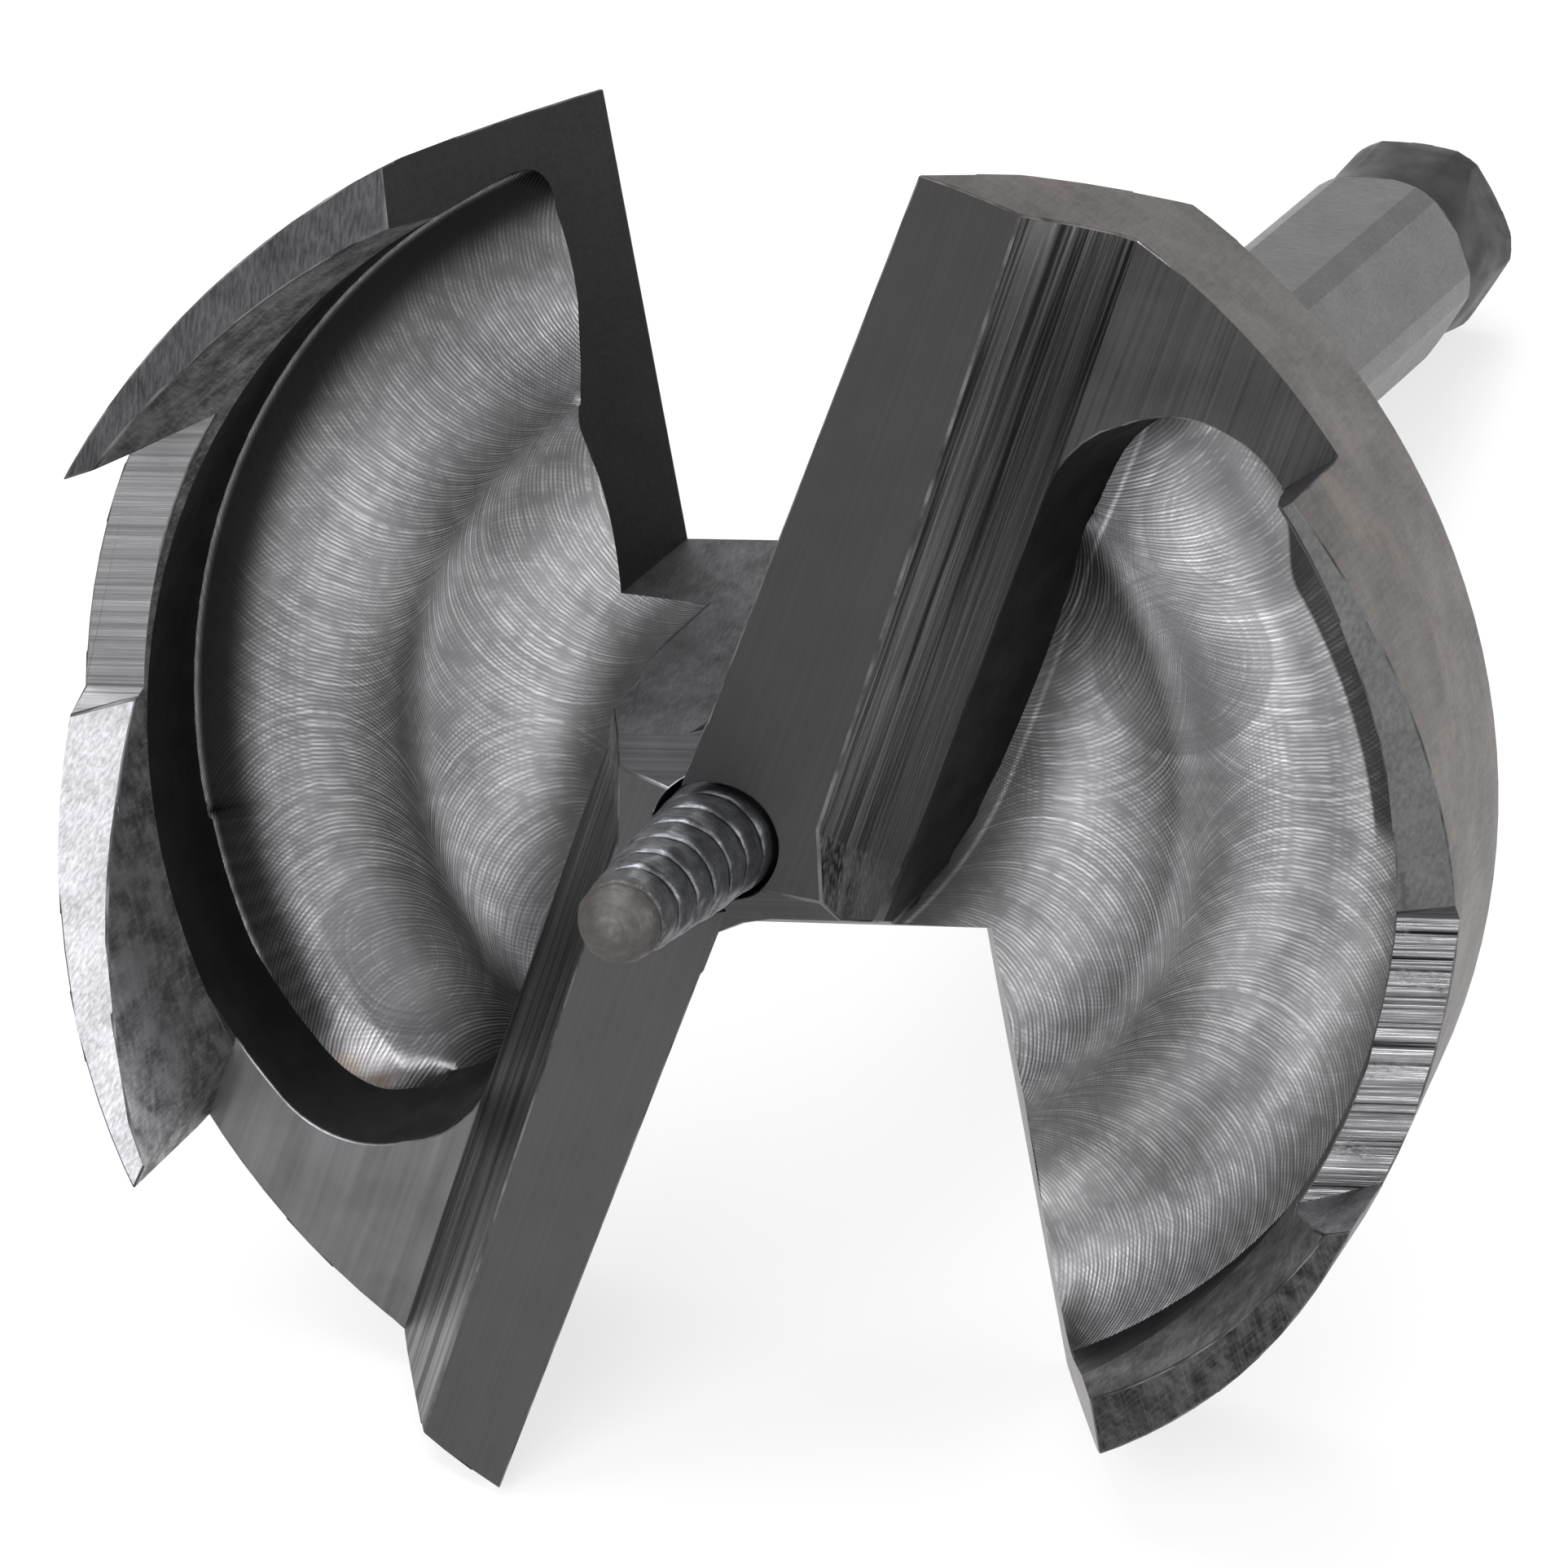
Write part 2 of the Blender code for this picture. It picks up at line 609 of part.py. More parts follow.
def finish(pieces):
    """Keep only each piece's finished shape, with its cutters taken away."""
    bpy.context.view_layer.update()
    graph = bpy.context.evaluated_depsgraph_get()
    shapes = [bpy.data.meshes.new_from_object(piece.evaluated_get(graph)) for piece in pieces]
    for piece, shape in zip(pieces, shapes):
        piece.modifiers.clear()
        piece.data = shape
        shape.name = piece.name
    for thing in list(bpy.data.objects):
        if thing not in pieces:
            bpy.data.objects.remove(thing, do_unlink=True)


def rest_normal(pieces):
    """Downward normal of the plane the pieces rest on: the hull's facet nearest the resting direction."""
    level = cos(REST_LEAN)
    wanted = Vector((cos(REST_AZIMUTH) * level, sin(REST_AZIMUTH) * level, -sin(REST_LEAN)))
    hull = bmesh.new()
    for piece in pieces:
        for vertex in piece.data.vertices:
            hull.verts.new(vertex.co)
    bmesh.ops.convex_hull(hull, input=hull.verts)
    hull.normal_update()
    normal = max((face.normal.copy() for face in hull.faces), key=wanted.dot)
    hull.free()
    return normal


def lay_down(pieces):
    """Turn the pieces onto their resting plane and centre them over the origin."""
    up = -rest_normal(pieces)
    back = (up * up.z - UP).normalized()
    turn = Matrix((back.cross(up), back, up)).to_4x4()
    for piece in pieces:
        piece.data.transform(turn)
    points = [vertex.co for piece in pieces for vertex in piece.data.vertices]
    low = Vector([min(point[axis] for point in points) for axis in range(3)])
    high = Vector([max(point[axis] for point in points) for axis in range(3)])
    middle = (low + high) / 2.0
    for piece in pieces:
        piece.data.transform(Matrix.Translation((-middle.x, -middle.y, -low.z)))


def main():
    """Build the three pieces."""
    clear_scene()
    body_steel = steel("forged_steel", (0.10, 0.10, 0.105), 0.42)
    screw_steel = steel("blackened_steel", (0.03, 0.03, 0.035), 0.35)
    pieces = [build_bit(body_steel), build_feed_screw(screw_steel), build_set_screw(screw_steel)]
    finish(pieces)
    lay_down(pieces)
    for piece in pieces:
        shade_round(piece, SHARP_ANGLE)


main()
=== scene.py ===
"""Self-feed forstner bit: the finishes, worn edges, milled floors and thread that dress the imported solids.

What follows the bit's shape is worked out in the bit's own axes, in millimetres: +Z out of the cutting face,
z = 0 at the cutting edges, and wing B is wing A turned half round. BitAxes finds those axes in the frame.
"""

import json
import logging
from dataclasses import dataclass, field
from enum import Enum
from math import atan2, cos, pi, radians, sin, sqrt
from typing import Any, Iterable, Sequence, Union

import bmesh
import bpy
from mathutils import Matrix, Quaternion, Vector
from mathutils.geometry import delaunay_2d_cdt
from mathutils.kdtree import KDTree


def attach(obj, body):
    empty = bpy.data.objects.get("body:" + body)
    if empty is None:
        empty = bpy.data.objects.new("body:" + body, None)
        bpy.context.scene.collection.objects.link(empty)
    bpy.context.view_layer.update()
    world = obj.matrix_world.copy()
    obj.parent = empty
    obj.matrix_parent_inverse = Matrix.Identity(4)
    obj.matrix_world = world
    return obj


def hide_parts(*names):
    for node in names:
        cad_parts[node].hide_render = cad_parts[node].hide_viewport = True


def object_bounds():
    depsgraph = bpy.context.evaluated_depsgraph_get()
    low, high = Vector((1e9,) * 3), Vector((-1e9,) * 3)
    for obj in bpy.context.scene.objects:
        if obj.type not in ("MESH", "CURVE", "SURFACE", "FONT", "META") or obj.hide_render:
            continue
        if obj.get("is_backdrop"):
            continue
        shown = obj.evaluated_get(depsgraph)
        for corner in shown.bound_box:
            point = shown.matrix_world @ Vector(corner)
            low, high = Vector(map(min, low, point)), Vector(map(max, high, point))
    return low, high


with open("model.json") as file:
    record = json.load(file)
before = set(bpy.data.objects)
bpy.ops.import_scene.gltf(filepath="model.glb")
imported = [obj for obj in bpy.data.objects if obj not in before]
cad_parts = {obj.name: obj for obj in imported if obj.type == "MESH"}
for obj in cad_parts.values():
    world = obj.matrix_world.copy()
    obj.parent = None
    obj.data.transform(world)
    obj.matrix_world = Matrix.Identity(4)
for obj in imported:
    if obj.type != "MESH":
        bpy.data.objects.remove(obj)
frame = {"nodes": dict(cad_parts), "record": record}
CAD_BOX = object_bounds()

LOG = logging.getLogger("forstner_bit")

MM = 0.001
BODY = "root"
UP = Vector((0.0, 0.0, 1.0))
HALF_TURN = Matrix.Diagonal((-1.0, -1.0, 1.0))

# Sizes shared with the solids, in millimetres and in the bit's axes
SHANK_END_LEVEL = -122.5
HEX_AZIMUTH = radians(22.5)
HEAD_RADIUS = 38.5
REAR_RADIUS = 36.2
HEAD_DEPTH = 20.0
FLAT_LEVEL = -8.4
BLADE_AZIMUTH = radians(65.3)
ALONG = Vector((cos(BLADE_AZIMUTH), sin(BLADE_AZIMUTH), 0.0))
BEHIND = Vector((sin(BLADE_AZIMUTH), -cos(BLADE_AZIMUTH), 0.0))
NECK_TAPER_END = -49.0
GROOVE_LEVEL = -114.5
RING_CENTRES = (15.6, 28.2)
RING_FLOORS = (-15.4, -16.0)
RING_HALF_WIDTH = 6.3
RIDGE_RISE = 1.2
CREST_START = 0.78
CREST_WIDTH = 1.3
RIDGE_RADIUS = 21.9
POCKET_RADIUS = 34.4
FLOOR_FILLET = 2.2
MILL_RADIUS = 6.45
SCREW_RADIUS = 3.175
SCREW_TIP_LEVEL = 14.0
SCREW_TIP_RADIUS = 2.05
SCREW_TAPER = 1.4
SCREW_FOOT_LEVEL = -42.6
THREAD_BASE = -2.6
THREAD_PITCH = 2.05
TOOTH_AZIMUTH = radians(29.9)
TRAIL_NORMAL = Vector((0.885, 0.089, -0.42))
TRAIL_REACH = 14.02
WALL_FOOT_OFFSET = 10.2
WALL_FOOT_CURL = 0.0225
WALL_CURL_START = 4.6

# Where the sorting of faces draws its lines, in millimetres
SLACK = 0.01
TOOTH_ROOT_RADIUS = 30.0
TOOTH_INNER_RADIUS = 33.0
FLOOR_TOP = -14.3
FILLET_INNER_RADIUS = 31.5
FILLET_TOP = -13.0
RIDGE_SPAN = (-15.6, -14.6)
STEP_RADIUS = 23.0
STEP_TOP = -14.9

# How strongly the white surroundings show in the floor and in the steel
FLOOR_GLOW = 0.72
EVEN_LIGHT = 0.55
MIRRORED_WHITE = 0.4

Number = Union[float, "Wire"]
Colour = tuple[float, float, float]


def shade(level: float, warmth: float = 0.0) -> Colour:
    """Linear colour of a display level, warmed towards brown or cooled towards blue.

    Args:
        level: The level as seen, from 0 to 255.
        warmth: The share by which red rises and blue falls.

    Returns:
        Red, green and blue for a shader socket.
    """
    share = level / 255.0
    linear = ((share + 0.055) / 1.055) ** 2.4 if share > 0.04045 else share / 12.92
    return (linear * (1.0 + warmth), linear, linear * (1.0 - warmth))


class Wing(Enum):
    """The bit's two wings; the second is the first turned half round."""

    A = "a"
    B = "b"

    @property
    def turn(self) -> Matrix:
        """Turn from the bit's axes to this wing's, in which its shape is wing A's."""
        return HALF_TURN.copy() if self is Wing.B else Matrix.Identity(3)


MILL_STOPS = {Wing.A: (22.9, 15.6), Wing.B: (21.9, 15.9)}
MILL_WAY = ALONG * 0.6 + BEHIND * 0.8
MILL_LEAN = 1.0


@dataclass(frozen=True)
class BitAxes:
    """The bit's own axes in the row frame.

    Args:
        origin: Where the axis meets the level of the cutting edges, in metres.
        turn: The bit's X, Y and Z directions as columns.
    """

    origin: Vector
    turn: Matrix

    @classmethod
    def from_mounts(cls, mounts: Iterable[dict[str, Any]]) -> "BitAxes":
        """Find the axes from the shank's end and its first flat.

        Args:
            mounts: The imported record's mounts.

        Returns:
            The axes.
        """
        named = {mount["name"]: mount for mount in mounts}
        end = named["shank_end"]
        forward = -Vector(end["axis"]).normalized()
        flat = Vector(named["shank_flat_1"]["axis"])
        flat = (flat - forward * flat.dot(forward)).normalized()
        right = Quaternion(forward, -HEX_AZIMUTH) @ flat
        across = forward.cross(right)
        origin = Vector(end["pos_m"]) - forward * SHANK_END_LEVEL * MM
        return cls(origin, Matrix((right, across, forward)).transposed())

    def row_matrix(self) -> Matrix:
        """Matrix from millimetres in the bit's axes to metres in the row frame."""
        return Matrix.Translation(self.origin) @ self.turn.to_4x4() @ Matrix.Scale(MM, 4)

    def to_row(self, point: Vector) -> Vector:
        """A point given in millimetres in the bit's axes, in the row frame."""
        return self.row_matrix() @ point


class Wire:
    """A shader socket that takes part in arithmetic; each operation adds its Math node."""

    def __init__(self, bench: "Bench", socket: bpy.types.NodeSocket) -> None:
        """Wrap a socket of a bench's tree."""
        self.bench = bench
        self.socket = socket

    def __add__(self, other: Number) -> "Wire":
        """Sum."""
        return self.bench.math("ADD", self, other)

    __radd__ = __add__

    def __sub__(self, other: Number) -> "Wire":
        """Difference."""
        return self.bench.math("SUBTRACT", self, other)

    def __rsub__(self, other: Number) -> "Wire":
        """Difference from a number."""
        return self.bench.math("SUBTRACT", other, self)

    def __mul__(self, other: Number) -> "Wire":
        """Product."""
        return self.bench.math("MULTIPLY", self, other)

    __rmul__ = __mul__

    def __truediv__(self, other: Number) -> "Wire":
        """Quotient."""
        return self.bench.math("DIVIDE", self, other)

    def __pow__(self, other: Number) -> "Wire":
        """Power."""
        return self.bench.math("POWER", self, other)

    def __abs__(self) -> "Wire":
        """Absolute value."""
        return self.bench.math("ABSOLUTE", self)

    def step(self, low: float, high: float) -> "Wire":
        """Rise smoothly from 0 at low to 1 at high; low may be the larger."""
        if low < high:
            return self.bench.smooth(self, low, high)
        return 1.0 - self.bench.smooth(self, high, low)

    def band(self, middle: float, half_width: float) -> "Wire":
        """A soft peak of 1 at the middle that falls to 0 at half the width on either side."""
        return abs(self - middle).step(half_width, 0.0)


class Sheet:
    """A node tree, with one way to add nodes and feed their inputs."""

    def __init__(self, owner: bpy.types.Material | bpy.types.World, clear: bool = False) -> None:
        """Work on a material's or a world's nodes, emptied first if clear is true."""
        owner.use_nodes = True
        self.tree = owner.node_tree
        if clear:
            self.tree.nodes.clear()

    def add(
        self, kind: str, settings: dict[str, Any] | None = None, sockets: dict[Any, Any] | None = None
    ) -> bpy.types.Node:
        """Add a node.

        Args:
            kind: The node's type.
            settings: Its own settings.
            sockets: Values or links for its inputs, by name or index.

        Returns:
            The node.
        """
        node = self.tree.nodes.new(kind)
        for name, value in (settings or {}).items():
            setattr(node, name, value)
        for name, value in (sockets or {}).items():
            self.feed(node.inputs[name], value)
        return node

    def feed(self, target: bpy.types.NodeSocket, value: Any) -> None:
        """Link a socket to an input, or set the input's value."""
        if isinstance(value, Wire):
            value = value.socket
        if isinstance(value, bpy.types.NodeSocket):
            self.tree.links.new(value, target)
        elif isinstance(value, tuple) and len(value) == 3 and target.type == "RGBA":
            target.default_value = (*value, 1.0)
        else:
            target.default_value = value

    def calculate(self, operation: str, *values: Any) -> bpy.types.NodeSocket:
        """Add a Math node and return its result."""
        return self.add("ShaderNodeMath", {"operation": operation}, dict(enumerate(values))).outputs[0]

    def blend(self, share: Any, first: bpy.types.Node, second: bpy.types.Node, output: str) -> None:
        """Mix two shaders by a share and give the mix to an output node of a kind."""
        shaders = {0: share, 1: first.outputs[0], 2: second.outputs[0]}
        mixed = self.add("ShaderNodeMixShader", {}, shaders)
        self.add(output, {}, {"Surface": mixed.outputs[0]})


class Bench(Sheet):
    """A metal material's node tree, with a wing's own coordinates ready."""

    def __init__(self, name: str, axes: BitAxes, wing: Wing) -> None:
        """Start a metal material whose patterns read the wing's axes in millimetres."""
        self.material = bpy.data.materials.new(name)
        super().__init__(self.material)
        self.shader = self.tree.nodes["Principled BSDF"]
        self.shader.inputs["Metallic"].default_value = 1.0
        back = wing.turn @ axes.turn.transposed()
        shift = back @ axes.origin
        coordinates = self.add("ShaderNodeTexCoord")
        place = self.add(
            "ShaderNodeMapping",
            {"vector_type": "POINT"},
            {
                "Vector": coordinates.outputs["Object"],
                "Location": -shift / MM,
                "Rotation": back.to_euler("XYZ"),
                "Scale": (1.0 / MM,) * 3,
            },
        )
        self.place = place.outputs["Vector"]
        parts = self.add("ShaderNodeSeparateXYZ", {}, {"Vector": self.place})
        self.x, self.y, self.z = (Wire(self, parts.outputs[axis]) for axis in "XYZ")
        self.radius = (self.x * self.x + self.y * self.y) ** 0.5
        self.azimuth = self.math("ARCTAN2", self.y, self.x)
        self.along = self.x * ALONG.x + self.y * ALONG.y
        self.behind = self.x * BEHIND.x + self.y * BEHIND.y

    def math(self, operation: str, *values: Number) -> Wire:
        """Add a Math node."""
        return Wire(self, self.calculate(operation, *values))

    def distance(self, x: float, y: float) -> Wire:
        """Distance from an upright line through a place in the wing's axes."""
        across, beside = self.x - x, self.y - y
        return (across * across + beside * beside) ** 0.5

    def smooth(self, value: Wire, low: float, high: float) -> Wire:
        """Map a value to a smooth rise from 0 at low to 1 at high."""
        sockets = {"Value": value, "From Min": low, "From Max": high}
        node = self.add("ShaderNodeMapRange", {"interpolation_type": "SMOOTHSTEP"}, sockets)
        return Wire(self, node.outputs["Result"])

    def mix(self, share: Number, first: Any, second: Any) -> Wire:
        """Mix two colours."""
        node = self.add("ShaderNodeMix", {"data_type": "RGBA"}, {0: share, 6: first, 7: second})
        return Wire(self, node.outputs[2])

    def noise(
        self, size: Sequence[float], azimuth: float = 0.0, detail: float = 3.0, rough: float = 0.55
    ) -> Wire:
        """Noise whose grains have a length, width and height in millimetres.

        Args:
            size: The grains' length along the azimuth, width across it, and height.
            azimuth: The direction of their length, about the bit's axis.
            detail: How many finer layers the noise has.
            rough: How strong the finer layers are.

        Returns:
            Values round 0.5.
        """
        sockets = {"Vector": self.place, "Rotation": (0.0, 0.0, azimuth), "Scale": tuple(size)}
        turned = self.add("ShaderNodeMapping", {"vector_type": "TEXTURE"}, sockets)
        return self.grain(turned.outputs["Vector"], detail, rough)

    def grain(self, vector: Any, detail: float = 3.0, rough: float = 0.55) -> Wire:
        """Noise on a ready vector, with grains of one unit."""
        sockets = {"Vector": vector, "Scale": 1.0, "Detail": detail, "Roughness": rough}
        node = self.add("ShaderNodeTexNoise", {"noise_dimensions": "3D"}, sockets)
        return Wire(self, node.outputs["Fac"])

    def streaks(self, value: Wire, detail: float = 2.0, rough: float = 0.6) -> Wire:
        """Noise along one value, with streaks of one unit."""
        sockets = {"W": value, "Scale": 1.0, "Detail": detail, "Roughness": rough}
        node = self.add("ShaderNodeTexNoise", {"noise_dimensions": "1D"}, sockets)
        return Wire(self, node.outputs["Fac"])

    def vector(self, x: Number, y: Number, z: Number) -> bpy.types.NodeSocket:
        """Put three values into a vector."""
        return self.add("ShaderNodeCombineXYZ", {}, {"X": x, "Y": y, "Z": z}).outputs["Vector"]

    def bump(self, height: Wire, depth: float) -> None:
        """Raise the surface by a height of 0 to 1 times a depth in millimetres."""
        sockets = {"Height": height, "Distance": depth * MM, "Strength": 1.0}
        node = self.add("ShaderNodeBump", {}, sockets)
        self.tree.links.new(node.outputs["Normal"], self.shader.inputs["Normal"])

    def finish(self, colour: Any, roughness: Number) -> bpy.types.Material:
        """Give the shader its colour and roughness."""
        self.feed(self.shader.inputs["Base Color"], colour)
        self.feed(self.shader.inputs["Roughness"], roughness)
        return self.material


@dataclass(frozen=True)
class Finish:
    """A surface between a dark and a light colour.

    Args:
        name: The material's name.
        dark: Colour of the surface's dark side.
        light: Colour of its light side.
        roughness: Mean roughness.
        metallic: 1 for bare steel, less under black oxide.
        specular: Strength of the reflection where the surface isn't bare.
    """

    name: str
    dark: Colour
    light: Colour
    roughness: float
    metallic: float = 1.0
    specular: float = 0.5

    def build(self, axes: BitAxes, wing: Wing = Wing.A) -> bpy.types.Material:
        """Make the material.

        Args:
            axes: The bit's axes.
            wing: The wing whose axes the patterns follow.

        Returns:
            The material.
        """
        bench = Bench(self.name, axes, wing)
        bench.shader.inputs["Metallic"].default_value = self.metallic
        bench.shader.inputs["Specular IOR Level"].default_value = self.specular
        tone, height, depth = self.surface(bench)
        bench.bump(height, depth)
        return bench.finish(self.colour(bench, tone), self.rough(bench, tone))

    def rough(self, bench: Bench, tone: Wire) -> Wire:
        """The roughness of a tone: the lighter, the smoother."""
        return self.roughness + (tone - 0.5) * -0.12

    def colour(self, bench: Bench, tone: Wire) -> Wire:
        """The colour of a tone from 0 to 1."""
        return bench.mix(tone, self.dark, self.light)

    def surface(self, bench: Bench) -> tuple[Wire, Wire, float]:
        """Tone from 0 to 1, height from 0 to 1, and the height's depth in millimetres."""
        tone = bench.noise((2.5, 2.5, 2.5)).step(0.3, 0.7)
        return tone, bench.noise((0.12, 0.12, 0.12)), 0.004


@dataclass(frozen=True)
class GrainedFinish(Finish):
    """A ground face with lines along one direction.

    Args:
        azimuth: The lines' direction about the bit's axis.
        line_width: Width of a line in millimetres.
        line_length: Length of a line in millimetres.
        contrast: Spread of the lines' noise that covers the whole range of tones.
        clouds: Share of broad patches in the tone.
        depth: Depth of the lines in millimetres.
    """

    azimuth: float = 0.0
    line_width: float = 0.22
    line_length: float = 30.0
    contrast: float = 0.25
    clouds: float = 0.3
    depth: float = 0.006

    def surface(self, bench: Bench) -> tuple[Wire, Wire, float]:
        """Long lines over broad patches, with fine pits."""
        size = (self.line_length, self.line_width, self.line_width)
        lines = bench.noise(size, self.azimuth, 4.0, 0.65)
        patches = bench.noise((3.0, 3.0, 3.0))
        pits = bench.noise((0.15, 0.15, 0.15), 0.0, 2.0)
        spread = lines.step(0.5 - self.contrast, 0.5 + self.contrast)
        tone = spread * (1.0 - self.clouds) + patches.step(0.25, 0.75) * self.clouds
        return tone, lines * 0.8 + pits * 0.2, self.depth


@dataclass(frozen=True)
class BevelFinish(Finish):
    """The steep bevel: coarse and fine scores along the blade, lighter towards its foot and the hub."""

    def surface(self, bench: Bench) -> tuple[Wire, Wire, float]:
        """Scores of two widths, over a band of light that grows along the foot."""
        fine = bench.noise((70.0, 0.16, 0.16), BLADE_AZIMUTH, 3.0, 0.6)
        coarse = bench.noise((90.0, 0.9, 0.9), BLADE_AZIMUTH, 3.0, 0.6)
        foot = bench.behind.step(6.2, 8.4) * bench.along.step(32.0, 14.0)
        scores = fine.step(0.42, 0.72) * 0.55 + coarse.step(0.4, 0.68) * 0.45
        tone = scores * (1.0 - foot * 0.5) + foot * 0.42
        return tone, fine * 0.5 + coarse * 0.5, 0.03


@dataclass(frozen=True)
class MilledFinish(Finish):
    """The pocket's floor: arcs left by the cutter on its way round, and the discs where it plunged, under
    painted light and shade.

    Args:
        cutter_radius: Radius of the arcs in millimetres.
        spacing: Distance between the arcs in millimetres.
        plunge_radius: Radius of the discs.
        plunges: Where the cutter plunged, as X and Y in the wing's axes.
        rim_shadow: How dark the painted shadow on the fillet at the rim is; also how bright the painted
            highlight line at the pocket's edge is.
        painted_highlight_bands: Middle and half width of each painted highlight band round the axis.
        painted_band_strength: How far the painted highlight bands stand out.
        rust: How brown the floor's end is.
        painted_tooth_shade: How dark the painted shade on the floor beside the first tooth is.
        fillet_shadow: How dark the painted shadow on the fillet under the rim is.
        painted_foot_highlight: How bright the painted highlight line along the blade wall's foot is.
        painted_shade_spots: X, Y, reach and strength of each patch darkened by painted shade.
    """

    cutter_radius: float = 6.6
    spacing: float = 0.25
    plunge_radius: float = 4.84
    plunges: tuple[tuple[float, float], ...] = ()
    rim_shadow: float = 0.5
    painted_highlight_bands: tuple[tuple[float, float], ...] = ()
    painted_band_strength: float = 0.5
    rust: float = 0.0
    painted_tooth_shade: float = 0.0
    fillet_shadow: float = 0.0
    painted_foot_highlight: float = 0.0
    painted_shade_spots: tuple[tuple[float, float, float, float], ...] = ()

    def arcs(self, bench: Bench, centre: float, side: float, wobble: Wire) -> Wire:
        """Evenly spaced lines along the cutter's front or rear edge on its way round one ring."""
        radius = bench.radius
        share = (radius * radius + (centre * centre - self.cutter_radius ** 2)) / (radius * (2.0 * centre))
        lag = bench.math("ARCCOSINE", bench.math("MINIMUM", share, 1.0))
        phase = (bench.azimuth + lag * side) * (centre / self.spacing)
        even = bench.math("SINE", (phase + wobble) * (2.0 * pi)) * 0.5 + 0.5
        return even * 0.28 + bench.streaks(phase * 0.7) * 0.72

    def both_rings(self, bench: Bench, outer: Wire, side: float, wobble: Wire) -> Wire:
        """The arcs of the inner ring, and of the outer ring where outer is 1."""
        first, second = (self.arcs(bench, centre, side, wobble) for centre in RING_CENTRES)
        return first * (1.0 - outer) + second * outer

    def painted_light_level(self, bench: Bench) -> Wire:
        """Painted light and shade over the floor, from 0 to 1: painted highlight bands round the axis,
        painted shade by the blade wall, over the rim fillet and in the dim spots, and painted highlight lines
        along the feet of the rim and the blade wall.
        """
        run = bench.math("MAXIMUM", WALL_CURL_START - bench.along, 0.0)
        from_blade = bench.behind - (WALL_FOOT_OFFSET - run * run * WALL_FOOT_CURL)
        # Painted shade: the floor darkens towards the blade wall, standing in for its shadow.
        blade = from_blade.step(4.6, 0.4) * 0.85
        # Painted shadow over the fillet at the rim.
        rim = bench.radius.step(30.8, 33.6) * self.rim_shadow
        wander = bench.radius + bench.noise((5.0, 5.0, 5.0)) * 4.0 - 2.0
        lit: Wire | float = 0.0
        # Painted highlight: bands round the axis are lightened in the colour, standing in for light that the
        # floor catches.
        for radius, half_width in self.painted_highlight_bands:
            lit = wander.band(radius, half_width) + lit
        level = bench.math("MINIMUM", lit, 1.0) * self.painted_band_strength + (1.0 - self.painted_band_strength)
        # Painted highlight: thin light lines at the foot of the rim and at the foot of the blade wall.
        foot = bench.radius.band(POCKET_RADIUS - 0.25, 0.2) * self.rim_shadow
        foot = foot + from_blade.band(0.35, 0.2) * self.painted_foot_highlight
        level = level * (1.0 - blade) * (1.0 - rim)
        # Painted shade: round patches of the floor darkened by a share.
        for x, y, reach, strength in self.painted_shade_spots:
            level = level * (1.0 - bench.distance(x, y).step(reach, reach * 0.3) * strength)
        return level + foot * 0.36

    def shadow(self, bench: Bench) -> Wire:
        """Painted shade where the floor would mirror the dark rim: beside the first tooth and along the
        fillet under the rim.
        """
        start = bench.azimuth.step(radians(-9.0), radians(-4.0))
        sides = start * bench.azimuth.step(radians(29.0), radians(25.0))
        point = bench.azimuth.step(radians(19.0), radians(29.0)) * 2.2
        beside = (bench.radius + bench.azimuth * 4.2 - point).step(30.3, 30.55) * sides * self.painted_tooth_shade
        fillet = bench.radius.step(30.6, 32.8) * bench.radius.step(34.1, 33.8) * self.fillet_shadow
        fillet = fillet * bench.behind.step(17.5, 20.5)
        return bench.math("MAXIMUM", beside, fillet)

    def surface(self, bench: Bench) -> tuple[Wire, Wire, float]:
        """Front arcs on the way in, rear arcs on the way out, crossed where they meet, with the discs."""
        outer = bench.radius.step(RIDGE_RADIUS - 0.3, RIDGE_RADIUS + 0.3)
        wobble = bench.noise((3.0, 3.0, 3.0), 0.0, 2.0) * 1.6
        front = self.both_rings(bench, outer, -1.0, wobble)
        rear = self.both_rings(bench, outer, 1.0, wobble)
        way = bench.azimuth.step(radians(14.0), radians(-24.0))
        broken = bench.noise((1.2, 1.2, 1.2), 0.0, 3.0)
        height = front * (0.2 + way * 0.6) + rear * (0.8 - way * 0.6)
        painted_disc_highlight: Wire | float = 0.0
        in_disc: Wire | float = 0.0
        for x, y in self.plunges:
            distance = bench.distance(x, y)
            inside = distance.step(self.plunge_radius + 0.12, self.plunge_radius - 0.12)
            turns = bench.streaks(distance * 4.0)
            height = height * (1.0 - inside * 0.35) + turns * inside * 0.22
            in_disc = inside + in_disc * (1.0 - inside)
            # Painted highlight: a faint light ring just outside each plunge disc.
            painted_disc_highlight = distance.band(self.plunge_radius + 0.4, 0.5) + painted_disc_highlight
        patches = bench.noise((4.5, 4.5, 4.5), 0.0, 3.0).step(0.25, 0.75)
        lines = height.step(0.4, 0.72) * broken.step(0.28, 0.66)
        tone = (lines * 0.56 + patches * 0.16 + 0.29 + painted_disc_highlight * 0.05) * (1.0 - in_disc * 0.12)
        return tone * self.painted_light_level(bench), height - in_disc * 0.15, 0.03

    def colour(self, bench: Bench, tone: Wire) -> Wire:
        """The tone's colour, browned at the pocket's round end, and near black under painted shade beside the
        first tooth and under the rim.
        """
        plain = bench.mix(tone, self.dark, self.light)
        end = bench.along.step(26.4, 27.6) * bench.noise((2.0, 2.0, 2.0)).step(0.35, 0.6)
        browned = bench.mix(end * self.rust, plain, shade(70, 0.35))
        # Painted shade: the floor goes near black where shadow() stands in for the dark rim that it mirrors.
        return bench.mix(self.shadow(bench), browned, shade(22))


